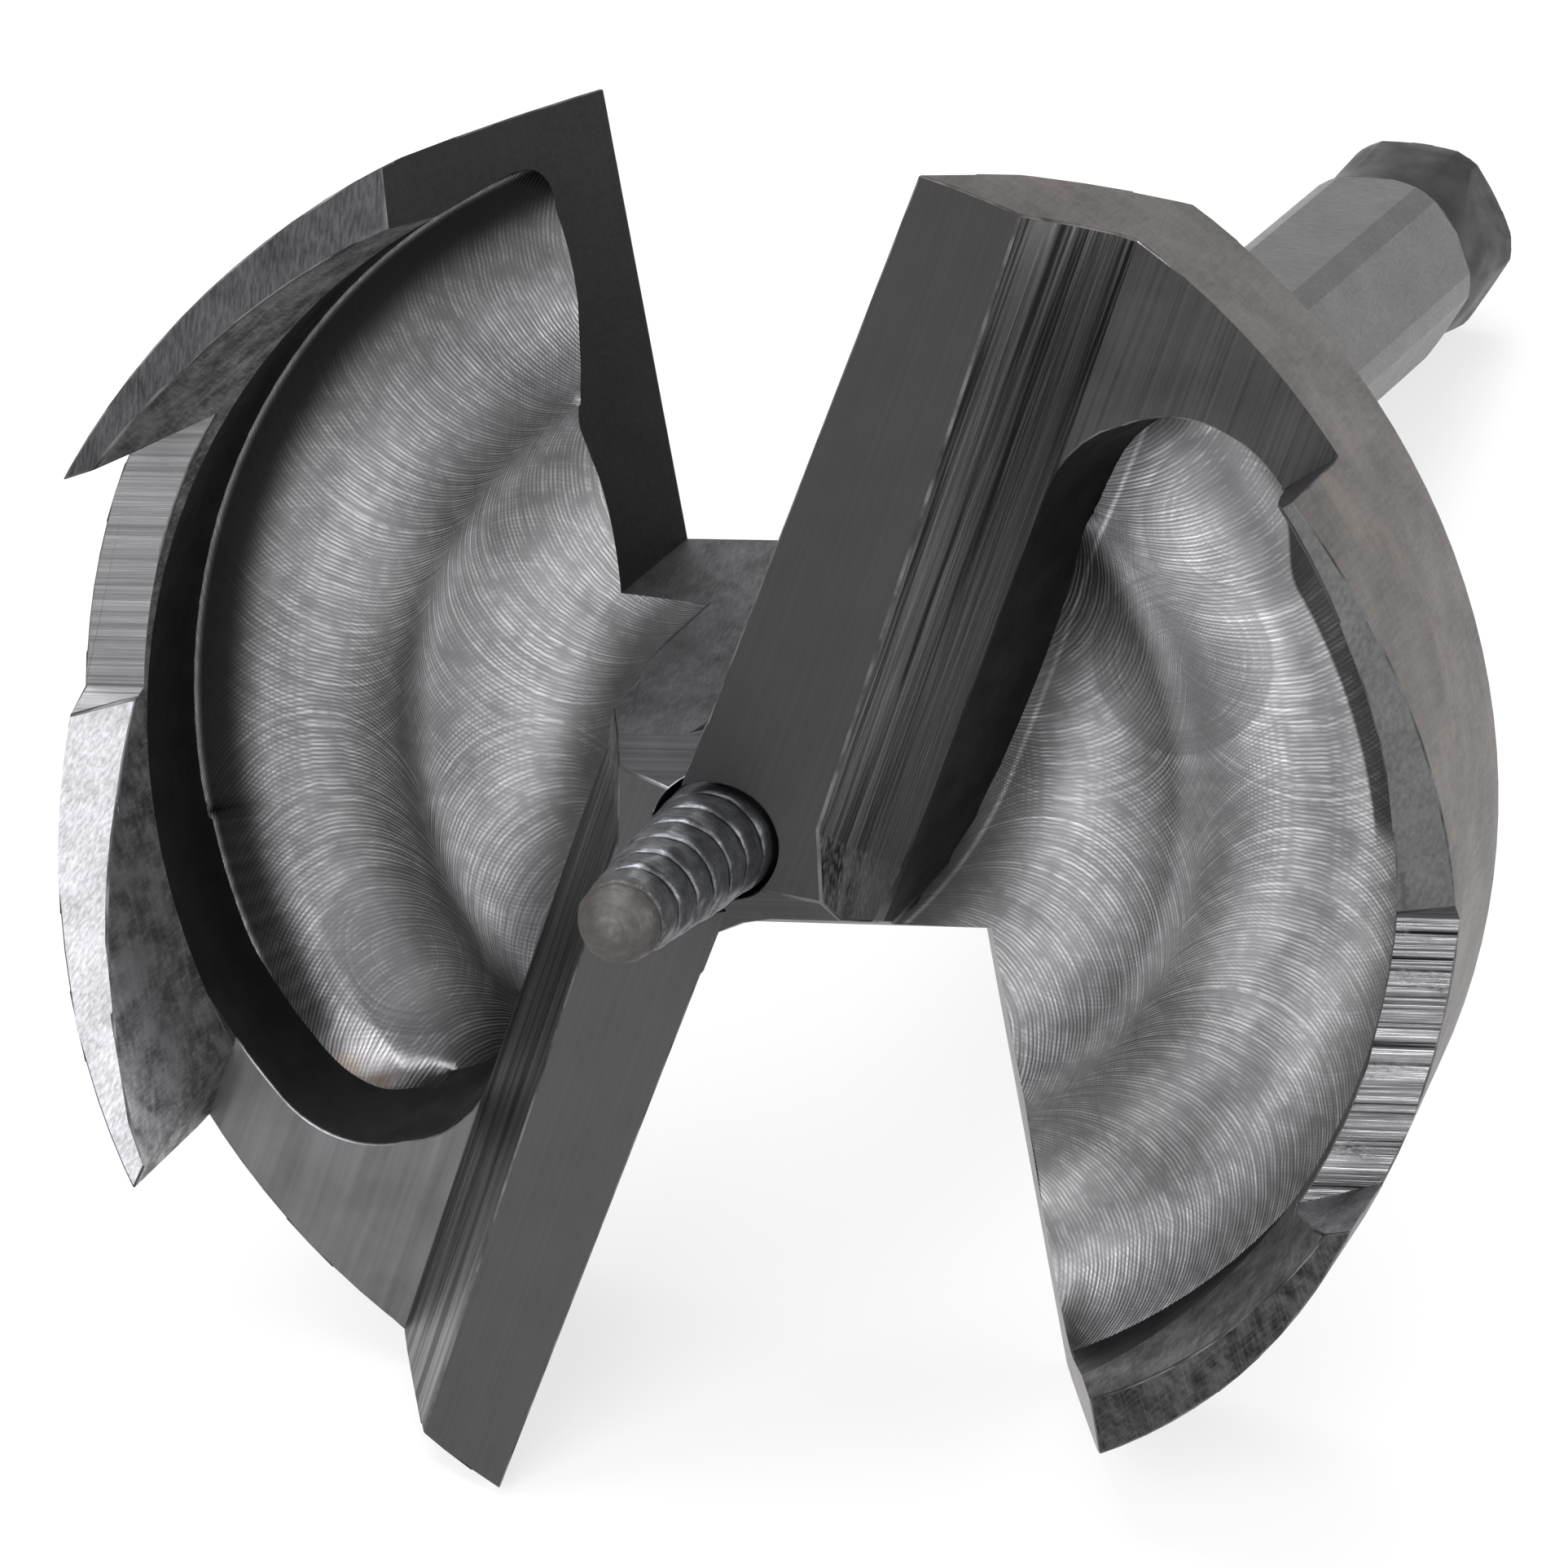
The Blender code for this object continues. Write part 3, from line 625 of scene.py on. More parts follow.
@dataclass(frozen=True)
class RimFinish(Finish):
    """The head's outer skin: fine lines round it, with brown patches.

    Args:
        rust: Colour of the patches.
    """

    rust: Colour = shade(116, 0.2)

    def surface(self, bench: Bench) -> tuple[Wire, Wire, float]:
        """Lines round the rim under slanting scratches."""
        turned = bench.vector(bench.azimuth * 5.0, bench.z * 5.0, bench.radius)
        lines = bench.grain(turned, 4.0, 0.65)
        scratches = bench.noise((5.0, 0.14, 0.8), radians(35.0), 3.0)
        upright = bench.noise((0.3, 0.3, 6.0), 0.0, 3.0)
        clouds = bench.noise((5.0, 5.0, 5.0), 0.0, 3.0)
        marks = lines.step(0.3, 0.75) * 0.4 + scratches.step(0.35, 0.7) * 0.3
        marks = marks + upright.step(0.3, 0.7) * 0.3
        return marks * 0.6 + clouds.step(0.25, 0.75) * 0.4, lines * 0.5 + scratches * 0.5, 0.003

    def colour(self, bench: Bench, tone: Wire) -> Wire:
        """The tone's colour under the patches, which gather along the head's upper edge."""
        patches = bench.noise((6.0, 6.0, 4.0), 0.0, 4.0, 0.6).step(0.5, 0.66)
        specks = bench.noise((0.8, 0.8, 0.8), 0.0, 3.0).step(0.55, 0.7) * 0.4
        brown = patches * (0.45 + specks) * (0.35 + bench.z.step(-16.0, -6.0) * 0.65)
        return bench.mix(brown, bench.mix(tone, self.dark, self.light), self.rust)


@dataclass(frozen=True)
class MottledFinish(Finish):
    """A dark face with blotches and fine scratches.

    Args:
        blotch: Size of a blotch in millimetres.
        scratches: How strongly the scratches show.
    """

    blotch: float = 1.6
    scratches: float = 0.3

    def surface(self, bench: Bench) -> tuple[Wire, Wire, float]:
        """Blotches under short crossing scratches."""
        blotches = bench.noise((self.blotch,) * 3, 0.0, 5.0, 0.65)
        scratches = bench.noise((4.0, 0.14, 0.6), radians(100.0), 3.0)
        crossing = bench.noise((3.0, 0.12, 0.6), radians(40.0), 3.0)
        marks = scratches.step(0.4, 0.72) + crossing.step(0.45, 0.75)
        tone = blotches.step(0.32, 0.72) * (1.0 - self.scratches) + marks * self.scratches
        return tone, scratches * 0.5 + crossing * 0.5, 0.01


@dataclass(frozen=True)
class ToothTopFinish(GrainedFinish):
    """A tooth's ground top, with a bright worn inner edge or a torn burr beside the pocket.

    Args:
        inner_edge: How bright the inner edge is.
        burr: How dark the torn burr is.
    """

    inner_edge: float = 0.0
    burr: float = 0.0

    def surface(self, bench: Bench) -> tuple[Wire, Wire, float]:
        """Grinding lines, and what runs along the inner edge."""
        tone, height, depth = super().surface(bench)
        torn = bench.noise((0.5, 0.5, 0.5), 0.0, 4.0, 0.7)
        radius = bench.radius + (torn - 0.5) * 1.2
        edge = radius.step(POCKET_RADIUS + 1.5, POCKET_RADIUS + 0.5) * self.inner_edge
        reach = bench.azimuth.band(radians(-6.5), radians(3.6))
        crack = radius.band(POCKET_RADIUS + 0.75, 0.28) * reach.step(0.05, 0.3) * self.burr
        return (tone + edge) * (1.0 - crack), height - crack * 2.0, depth


@dataclass(frozen=True)
class RidgedFinish(Finish):
    """The gullet: bright and dark ridges across the rim.

    Args:
        contrast: Spread of the ridges' noise that covers the whole range of tones.
        ridge: Width of a ridge in millimetres.
        torn: How much of the surface is torn into specks.
    """

    contrast: float = 0.12
    ridge: float = 0.55
    torn: float = 0.5

    def surface(self, bench: Bench) -> tuple[Wire, Wire, float]:
        """Ridges along X, speckled where they are worst."""
        ridges = bench.noise((80.0, self.ridge, 4.0), 0.0, 5.0, 0.8)
        speckle = bench.noise((0.6, 0.25, 0.6), 0.0, 5.0, 0.7)
        where = bench.noise((4.0, 1.6, 4.0), 0.0, 2.0).step(0.5, 0.62) * self.torn
        mixed = ridges * (1.0 - where * 0.7) + speckle * where * 0.7
        tone = mixed.step(0.5 - self.contrast, 0.5 + self.contrast)
        return tone, mixed, 0.05


@dataclass(frozen=True)
class ThreadFinish(Finish):
    """The feed screw's black oxide, worn bright along the crests and to bare brown steel at the tip.

    Args:
        crest: Colour of the worn crests.
        tip: Colour of the worn tip.
    """

    crest: Colour = shade(150, -0.02)
    tip: Colour = shade(80, 0.1)

    def surface(self, bench: Bench) -> tuple[Wire, Wire, float]:
        """Fine lines round the screw over small blotches."""
        lines = bench.grain(bench.vector(bench.azimuth * 0.6, bench.z * 7.0, bench.radius * 2.0), 3.0, 0.6)
        blotches = bench.noise((0.7, 0.7, 0.7), 0.0, 4.0, 0.65)
        tone = lines.step(0.3, 0.75) * 0.5 + blotches.step(0.35, 0.7) * 0.5
        specks = bench.noise((0.18, 0.18, 0.18), 0.0, 3.0, 0.7)
        return tone, lines * 0.3 + blotches * 0.4 + specks * 0.3, 0.05

    def worn(self, bench: Bench) -> Wire:
        """How far the oxide is worn off towards the tip."""
        patchy = bench.noise((0.9, 0.9, 0.9), 0.0, 4.0, 0.7)
        return (bench.z + (patchy - 0.5) * 5.0).step(9.5, 13.0)

    def rough(self, bench: Bench, tone: Wire) -> Wire:
        """Dull where the oxide is worn off."""
        return self.worn(bench) * 0.22 + (self.roughness + tone * -0.1)

    def colour(self, bench: Bench, tone: Wire) -> Wire:
        """Oxide on the turns, painted shade near black in the grooves, bright specks on the crests and bare
        metal at the tip.
        """
        turn = (bench.z - THREAD_BASE) / THREAD_PITCH - bench.azimuth / (2.0 * pi)
        phase = abs(bench.math("FRACT", turn) * 2.0 - 1.0)
        patchy = bench.noise((0.35, 0.35, 0.35), 0.0, 4.0, 0.7)
        crest = (phase + (patchy - 0.5) * 0.3).band(0.82, 0.1) * patchy.step(0.5, 0.64)
        crest = crest * bench.z.step(-1.0, 4.0) * bench.z.step(12.6, 11.8)
        # Painted shade: the narrow groove between the turns goes near black.
        groove = phase.step(0.88, 0.97) * bench.z.step(13.0, 11.0) * 0.9
        oxide = bench.mix(groove, bench.mix(tone, self.dark, self.light), shade(10))
        worn = bench.mix(self.worn(bench) * 0.8, oxide, self.tip)
        return bench.mix(crest * 0.8, worn, self.crest)


class Zone(Enum):
    """The surfaces of the bit, each with a finish of its own."""

    FORGED = "forged_skin"
    LAND = "ground_land"
    BEVEL = "ground_bevel"
    RAKE = "ground_rake"
    FLAT = "brushed_flat"
    TRAIL = "trailing_wall"
    CORNER = "slot_corner"
    GASH = "ground_gash"
    HUB = "hub_wall"
    FIRST_TOOTH = "first_tooth_top"
    SECOND_TOOTH = "second_tooth_top"
    TOOTH_SIDE = "tooth_side"
    TOOTH_INNER = "tooth_inner_face"
    GULLET = "gullet_floor"
    POCKET_WALL = "pocket_wall"
    POCKET_FLOOR = "milled_floor"
    RIM = "rim_skin"
    SHANK = "shank_flat"
    GROOVE = "shank_groove"
    EDGE = "worn_edge"


BLADE_LINES = {"azimuth": BLADE_AZIMUTH}
FINISHES: dict[tuple[Zone, Wing], Finish] = {
    (Zone.FORGED, Wing.A): MottledFinish("forged_skin", shade(60), shade(95), 0.5),
    # Lit and shaded copies of one ground land: wing A's is painted darker as painted shade, wing B's lighter
    # as painted light.
    (Zone.LAND, Wing.A): GrainedFinish(
        "right_ground_land_painted_shade", shade(60), shade(71), 0.45, **BLADE_LINES, contrast=0.4, depth=0.001
    ),
    (Zone.LAND, Wing.B): GrainedFinish(
        "left_ground_land_painted_light", shade(74), shade(86), 0.45, **BLADE_LINES, contrast=0.4, depth=0.001
    ),
    (Zone.BEVEL, Wing.A): BevelFinish("scored_bevel", shade(46), shade(158), 0.38),
    (Zone.RAKE, Wing.A): GrainedFinish("ground_rake", shade(45), shade(80), 0.45, **BLADE_LINES),
    # Lit and shaded copies of one flat: wing A's is painted darker as painted shade, wing B's lighter as
    # painted light; wing B's also has coarser lines.
    (Zone.FLAT, Wing.A): GrainedFinish(
        "brushed_flat", shade(45), shade(75), 0.42, **BLADE_LINES, contrast=0.3, depth=0.004
    ),
    (Zone.FLAT, Wing.B): GrainedFinish(
        "scored_flat_painted_light", shade(80), shade(118), 0.42, **BLADE_LINES, line_width=1.3, contrast=0.3, depth=0.004
    ),
    # Painted reflection on wing A's trailing wall, pale beige for the white floor it mirrors; painted shade
    # on wing B's wall, near black for the dark wing it mirrors.
    (Zone.TRAIL, Wing.A): GrainedFinish("trailing_wall_painted_reflection", shade(110, 0.05), shade(140, 0.05), 0.4),
    (Zone.TRAIL, Wing.B): GrainedFinish(
        "trailing_wall_painted_shade", shade(24), shade(34), 0.5, metallic=0.0, specular=0.15
    ),
    (Zone.CORNER, Wing.A): GrainedFinish("slot_corner", shade(44), shade(66), 0.45),
    (Zone.GASH, Wing.A): GrainedFinish("ground_gash", shade(48), shade(70), 0.42),
    (Zone.HUB, Wing.A): MottledFinish("right_hub_wall", shade(66), shade(94), 0.45, blotch=2.5),
    (Zone.HUB, Wing.B): MottledFinish("left_hub_wall", shade(54), shade(92), 0.45, blotch=2.5),
    (Zone.FIRST_TOOTH, Wing.A): ToothTopFinish(
        "shaded_first_tooth", shade(86), shade(120), 0.38, azimuth=radians(60.0),
        line_length=3.0, contrast=0.3, burr=0.95,
    ),
    (Zone.FIRST_TOOTH, Wing.B): ToothTopFinish(
        "bright_first_tooth", shade(88), shade(112), 0.36, azimuth=radians(60.0),
        line_length=4.0, line_width=0.16, contrast=0.25, depth=0.002,
    ),
    (Zone.SECOND_TOOTH, Wing.A): MottledFinish(
        "mottled_second_tooth", shade(34), shade(92), 0.42, blotch=1.2
    ),
    (Zone.SECOND_TOOTH, Wing.B): ToothTopFinish(
        "scratched_second_tooth", shade(35), shade(64), 0.4, azimuth=radians(80.0),
        line_length=3.5, line_width=0.14, contrast=0.22, inner_edge=0.6,
    ),
    (Zone.TOOTH_SIDE, Wing.A): GrainedFinish("tooth_side", shade(46), shade(80), 0.45),
    # Painted light: wing B's inner face is coloured much lighter than wing A's, standing in for the light it
    # mirrors.
    (Zone.TOOTH_INNER, Wing.A): MottledFinish("right_tooth_inner_face", shade(56), shade(118), 0.45),
    (Zone.TOOTH_INNER, Wing.B): MottledFinish("left_tooth_inner_face_painted_light", shade(78), shade(175), 0.45),
    (Zone.GULLET, Wing.A): RidgedFinish("bright_gullet", shade(14), shade(162), 0.26, contrast=0.14),
    (Zone.GULLET, Wing.B): RidgedFinish(
        "dull_gullet", shade(92), shade(150), 0.38, contrast=0.25, ridge=0.4, torn=0.2
    ),
    (Zone.POCKET_WALL, Wing.A): Finish("pocket_wall", shade(20), shade(28), 0.5, metallic=0.0, specular=0.12),
    (Zone.POCKET_FLOOR, Wing.A): MilledFinish(
        "right_milled_floor", shade(50), shade(212), 0.34, plunges=((20.99, 5.72), (24.44, 13.1)),
        rim_shadow=0.3, painted_tooth_shade=0.85, painted_foot_highlight=0.6, painted_shade_spots=((18.7, -20.6, 9.0, 0.32),),
        painted_highlight_bands=((15.5, 5.0), (26.0, 3.0), (30.4, 3.0)), painted_band_strength=0.55,
    ),
    (Zone.POCKET_FLOOR, Wing.B): MilledFinish(
        "left_milled_floor", shade(52), shade(212), 0.34, plunges=((24.11, 11.43),),
        rim_shadow=0.85, fillet_shadow=0.9, painted_highlight_bands=((15.0, 6.0), (27.0, 4.5)), rust=0.6,
        painted_shade_spots=((17.1, -24.1, 14.0, 0.5), (22.4, 18.8, 5.5, 0.6)),
    ),
    (Zone.RIM, Wing.A): RimFinish("rim_skin", shade(74, 0.09), shade(108, 0.09), 0.45),
    (Zone.SHANK, Wing.A): GrainedFinish("shank_flat", shade(98), shade(116), 0.4, line_length=1.0),
    (Zone.GROOVE, Wing.A): Finish("shank_groove", shade(56), shade(74), 0.45),
    (Zone.EDGE, Wing.A): Finish("worn_edge", shade(58), shade(118), 0.4),
}
SCREW_FINISH = ThreadFinish("oxide_thread", shade(74, -0.03), shade(142, -0.03), 0.48)
SET_SCREW_FINISH = MottledFinish("oxide_set_screw", shade(30), shade(62), 0.4, blotch=0.8)


@dataclass(frozen=True)
class Plane:
    """A plane face of wing A.

    Args:
        point: A point on it, in millimetres.
        normal: Its outward direction, of any length.
    """

    point: Vector
    normal: Vector

    def holds(self, centre: Vector, normal: Vector) -> bool:
        """Whether a face with this centre and normal lies on the plane."""
        own = self.normal.normalized()
        return own.dot(normal) > 0.9995 and abs(own.dot(centre - self.point)) < 0.05


def wing_planes() -> list[tuple[Zone, Plane]]:
    """The plane faces of wing A that have a finish of their own.

    Returns:
        Each with its zone.
    """
    edge = BEHIND * -2.25
    gullet = Vector((0.0, -5.4, -8.2))
    tip = Vector((cos(TOOTH_AZIMUTH), sin(TOOTH_AZIMUTH), 0.0)) * HEAD_RADIUS
    lean = radians(25.0)
    ahead = (ALONG * 0.0215 - BEHIND).normalized()
    trail = TRAIL_NORMAL * TRAIL_REACH / TRAIL_NORMAL.length_squared
    return [
        (Zone.LAND, Plane(edge, UP + (ALONG * -0.0215 + BEHIND) * 0.273)),
        (Zone.BEVEL, Plane(UP * 5.64, UP + ALONG * 0.03 + BEHIND * 1.546)),
        (Zone.BEVEL, Plane(Vector((5.56, -0.46, -2.17)), Vector((0.889, -0.114, 0.443)))),
        (Zone.RAKE, Plane(edge, ahead * cos(lean) - UP * sin(lean))),
        (Zone.FLAT, Plane(UP * FLAT_LEVEL, UP)),
        (Zone.TRAIL, Plane(trail, -TRAIL_NORMAL)),
        (Zone.FIRST_TOOTH, Plane(tip + UP * 1.1, Vector((-0.204, -0.368, 1.0)))),
        (Zone.SECOND_TOOTH, Plane(Vector((tip.x, -tip.y, 0.6)), Vector((-0.2665, -0.116, 1.0)))),
        (Zone.GULLET, Plane(gullet, Vector((0.0, 0.061, 1.0)))),
        (Zone.GULLET, Plane(gullet, Vector((0.0, -1.0, 0.733)))),
        (Zone.GASH, Plane(Vector((0.0, -1.1, 0.0)), Vector((0.0, -0.95, 1.0)))),
        (Zone.HUB, Plane(Vector((0.0, -3.65, 0.0)), Vector((0.0, -1.0, 0.345)))),
    ]


def add_object(name: str, data: bpy.types.ID | bmesh.types.BMesh) -> bpy.types.Object:
    """Put an object into the scene with its data, or with a mesh's form; the mesh is freed."""
    if isinstance(data, bmesh.types.BMesh):
        form, data = data, bpy.data.meshes.new(name)
        form.to_mesh(data)
        form.free()
    thing = bpy.data.objects.new(name, data)
    bpy.context.scene.collection.objects.link(thing)
    return thing


def place_piece(name: str, bm: bmesh.types.BMesh, axes: BitAxes) -> bpy.types.Object:
    """Turn a mesh made in the bit's axes into an object in the row frame that rides on the bit.

    Args:
        name: The piece's name.
        bm: Its mesh, which is freed.
        axes: The bit's axes.

    Returns:
        The piece.
    """
    bmesh.ops.transform(bm, matrix=axes.row_matrix(), verts=bm.verts)
    piece = add_object(name, bm)
    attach(piece, BODY)
    return piece


@dataclass
class PocketMill:
    """The round-nosed cutter that milled a pocket, on the last stretch of its outer ring.

    Args:
        wing: The wing whose pocket it opens.
        travel: How far back along the ring the stretch begins, in radians.
        stations: Places of the cutter on the stretch.
        segments: Sides of the cutter.
        arc_steps: Steps of the quarter round at the cutter's end.
        clearance: How far above the outer ring's floor the cutter's end stays, in millimetres.
    """

    wing: Wing
    travel: float = radians(23.0)
    stations: int = 13
    segments: int = 64
    arc_steps: int = 4
    clearance: float = 0.24

    def __post_init__(self) -> None:
        """Work out the places of the cutter's middle at the mouth, and the way it leans at each."""
        along, behind = MILL_STOPS[self.wing]
        stop = ALONG * along + BEHIND * behind
        self.places: list[tuple[Vector, Vector]] = []
        for station in range(self.stations):
            back = station / (self.stations - 1)
            radius = stop.length + (POCKET_RADIUS - MILL_RADIUS - stop.length) * min(1.0, 2.0 * back)
            turn = atan2(stop.y, stop.x) - self.travel * back
            out = Vector((cos(turn), sin(turn), 0.0))
            way = MILL_WAY.lerp(out, min(1.0, 3.0 * back)).normalized()
            self.places.append((out * radius, way))
        self.last_azimuth = atan2(stop.y, stop.x) - self.travel

    def build(self) -> bpy.types.Object:
        """Make the space that the cutter swept, in the bit's axes.

        Returns:
            The body to cut away.
        """
        bm = bmesh.new()
        for middle, way in self.places:
            for reach, lean, level in self.outline():
                ring = bmesh.ops.create_circle(bm, segments=self.segments, radius=reach)
                bmesh.ops.translate(bm, verts=ring["verts"], vec=middle + way * lean + UP * level)
        hull = bmesh.ops.convex_hull(bm, input=bm.verts)
        spare = [item for item in hull["geom_interior"] if isinstance(item, bmesh.types.BMVert)]
        bmesh.ops.delete(bm, geom=spare, context="VERTS")
        bmesh.ops.transform(bm, matrix=self.wing.turn.to_4x4(), verts=bm.verts)
        bmesh.ops.recalc_face_normals(bm, faces=bm.faces)
        return add_object("pocket_mill_" + self.wing.value, bm)

    def outline(self) -> list[tuple[float, float, float]]:
        """The cutter's half section: leaning away from the blade, then rounded into its flat end.

        Returns:
            Radii, how far the middle has moved from the blade, and levels.
        """
        floor = RING_FLOORS[1] + self.clearance
        points = [(MILL_RADIUS, 0.0, FLAT_LEVEL + 0.3)]
        for step in range(self.arc_steps + 1):
            angle = pi / 2.0 * step / self.arc_steps
            level = floor + FLOOR_FILLET * (1.0 - sin(angle))
            lean = MILL_LEAN * (FLAT_LEVEL - level) / (FLAT_LEVEL - floor)
            points.append((MILL_RADIUS - lean - FLOOR_FILLET * (1.0 - cos(angle)), lean, level))
        return points

    def fillet_rise(self, place: Vector) -> float:
        """How far the fillet under the rim and the round end lifts the floor at a place of the wing."""
        edge, share = place.length - POCKET_RADIUS, 1.0
        if atan2(place.y, place.x) > self.last_azimuth:
            foot = MILL_RADIUS - MILL_LEAN
            spans = [(place - middle - way * MILL_LEAN, way) for middle, way in self.places]
            span, way = min(spans, key=lambda item: item[0].length)
            edge = span.length - foot
            share = max(0.0, min(1.0, (span.dot(way) / foot + 0.4) / 0.9))
            share *= share * (3.0 - 2.0 * share) * 0.7
        depth = max(0.0, min(edge, -0.001) + FLOOR_FILLET)
        return (FLOOR_FILLET - sqrt(FLOOR_FILLET ** 2 - depth ** 2)) * share


def cut_away(bm: bmesh.types.BMesh, cutters: Sequence[bpy.types.Object]) -> bmesh.types.BMesh:
    """Cut bodies out of a mesh.

    Args:
        bm: The mesh, which is freed.
        cutters: The bodies, which are removed afterwards.

    Returns:
        What is left.
    """
    blank = add_object("blank", bm)
    for cutter in cutters:
        step = blank.modifiers.new(cutter.name, "BOOLEAN")
        step.operation = "DIFFERENCE"
        step.object = cutter
    graph = bpy.context.evaluated_depsgraph_get()
    shape = bpy.data.meshes.new_from_object(blank.evaluated_get(graph))
    left = bmesh.new()
    left.from_mesh(shape)
    for thing in (blank, *cutters):
        mesh = thing.data
        bpy.data.objects.remove(thing, do_unlink=True)
        bpy.data.meshes.remove(mesh)
    bpy.data.meshes.remove(shape)
    return left


@dataclass
class BitBody:
    """Head, neck and shank, copied from their solid with worn edges and fine pocket floors.

    Args:
        axes: The bit's axes.
        source: The CAD node.
        edge_width: Width of the worn strip along sharp edges, in millimetres.
        floor_step: Side of the floor's triangles, in millimetres.
        reach: How far from its border the floor may leave the milled form, in millimetres.
        narrow: Width under which a face keeps its sharp edges, in worn strips.
        sharp_angle: Angle from which an outer edge is worn.
        slots: The zone and wing of each material slot.
        mills: The cutter of each wing's pocket.
    """

    axes: BitAxes
    source: bpy.types.Object
    edge_width: float = 0.11
    floor_step: float = 0.45
    reach: float = 1.2
    narrow: float = 2.4
    sharp_angle: float = radians(30.0)
    slots: list[tuple[Zone, Wing]] = field(default_factory=lambda: list(FINISHES))
    mills: dict[Wing, PocketMill] = field(default_factory=lambda: {wing: PocketMill(wing) for wing in Wing})

    def build(self) -> bpy.types.Object:
        """Make the dressed body.

        Returns:
            The piece.
        """
        bm = bmesh.new()
        bm.from_mesh(self.source.data)
        bmesh.ops.transform(bm, matrix=self.axes.row_matrix().inverted(), verts=bm.verts)
        bmesh.ops.remove_doubles(bm, verts=bm.verts, dist=0.004)
        bm = cut_away(bm, [mill.build() for mill in self.mills.values()])
        bmesh.ops.remove_doubles(bm, verts=bm.verts, dist=0.01)
        self.close_ledge(bm)
        self.sort_faces(bm)
        self.join_flat_faces(bm)
        self.wear_edges(bm)
        self.lay_floors(bm)
        self.mark_sharp(bm)
        body = place_piece("dressed_body", bm, self.axes)
        for zone, wing in self.slots:
            body.data.materials.append(FINISHES[zone, wing].build(self.axes, wing))
        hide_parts(self.source.name)
        return body

    def slot_of(self, zone: Zone, wing: Wing) -> int:
        """The material slot of a zone on a wing."""
        return self.slots.index((zone, wing) if (zone, wing) in FINISHES else (zone, Wing.A))

    def zone_at(self, face: bmesh.types.BMFace) -> Zone:
        """The zone that a sorted face belongs to."""
        return self.slots[face.material_index][0]

    @staticmethod
    def close_ledge(bm: bmesh.types.BMesh) -> None:
        """Draw the hair-wide ledge round the pockets' mouths in to the pocket's own edge."""
        near = []
        for vertex in bm.verts:
            flat = Vector((vertex.co.x, vertex.co.y))
            if abs(flat.length - POCKET_RADIUS) < 0.16 and abs(vertex.co.z - FLAT_LEVEL) < 0.08:
                scale = POCKET_RADIUS / flat.length
                vertex.co = (flat.x * scale, flat.y * scale, FLAT_LEVEL)
                near.append(vertex)
        bmesh.ops.remove_doubles(bm, verts=near, dist=0.03)
        bmesh.ops.dissolve_degenerate(bm, dist=0.002, edges=bm.edges)
        flaps = [face for edge in bm.edges if edge.is_boundary for face in edge.link_faces]
        bmesh.ops.delete(bm, geom=[face for face in flaps if face.calc_area() < 0.2], context="FACES")

    def sort_faces(self, bm: bmesh.types.BMesh) -> None:
        """Give every face the finish of its zone."""
        planes = wing_planes()
        bm.normal_update()
        areas: dict[str, float] = {}
        for face in bm.faces:
            zone, wing = self.zone_of(face, planes)
            face.material_index = self.slot_of(zone, wing)
            areas[zone.value] = areas.get(zone.value, 0.0) + face.calc_area()
        for name, area in areas.items():
            LOG.info("zone %s: %.1f square millimetres", name, area)
        self.absorb_islands(bm)

    def absorb_islands(self, bm: bmesh.types.BMesh) -> None:
        """Give the few steep facets that stand within a pocket's floor to the floor."""
        floors = [self.slot_of(Zone.POCKET_FLOOR, wing) for wing in Wing]
        left = {face for face in bm.faces if face.material_index not in floors}
        while left:
            island = [left.pop()]
            for face in island:
                for other in (other for edge in face.edges for other in edge.link_faces):
                    if other in left:
                        left.remove(other)
                        island.append(other)
            if len(island) < 60:
                side = Wing.A if island[0].calc_center_median().x > 0.0 else Wing.B
                for face in island:
                    face.material_index = self.slot_of(Zone.POCKET_FLOOR, side)

    def zone_of(
        self, face: bmesh.types.BMFace, planes: Sequence[tuple[Zone, Plane]]
    ) -> tuple[Zone, Wing]:
        """Tell which zone a face belongs to, and on which wing.

        Args:
            face: The face, in the bit's axes.
            planes: The plane faces of wing A.

        Returns:
            The zone and the wing.
        """
        centre = face.calc_center_median()
        normal = face.normal
        radius = Vector((centre.x, centre.y)).length
        outward = (normal.x * centre.x + normal.y * centre.y) / max(radius, 0.01)
        side = Wing.A if centre.x > 0.0 else Wing.B
        if centre.z < NECK_TAPER_END:
            return (Zone.GROOVE if centre.z < GROOVE_LEVEL + 1.0 else Zone.SHANK), side
        if centre.z < -HEAD_DEPTH + SLACK or radius < SCREW_RADIUS + 0.4:
            return Zone.FORGED, side
        for zone, plane in planes:
            for wing in (side, Wing.B if side is Wing.A else Wing.A):
                if plane.holds(wing.turn @ centre, wing.turn @ normal):
                    return zone, wing
        if radius > REAR_RADIUS - 0.3 and outward > 0.9:
            return Zone.RIM, side
        if centre.z > FLAT_LEVEL - SLACK and outward < -0.3 and radius > TOOTH_INNER_RADIUS:
            return Zone.TOOTH_INNER, side
        highest = FILLET_TOP if radius > FILLET_INNER_RADIUS else FLOOR_TOP
        on_ridge = abs(radius - RIDGE_RADIUS) < 0.05 and RIDGE_SPAN[0] < centre.z < RIDGE_SPAN[1]
        on_step = radius > STEP_RADIUS and centre.z < STEP_TOP and self.in_pocket(centre, normal)
        if centre.z < highest and (normal.z > 0.3 or on_ridge or on_step):
            return Zone.POCKET_FLOOR, side
        if centre.z < FLAT_LEVEL - SLACK and self.in_pocket(centre, normal):
            return Zone.POCKET_WALL, side
        if radius > TOOTH_ROOT_RADIUS and centre.z > FLAT_LEVEL - SLACK:
            return Zone.TOOTH_SIDE, side
        return Zone.CORNER, side

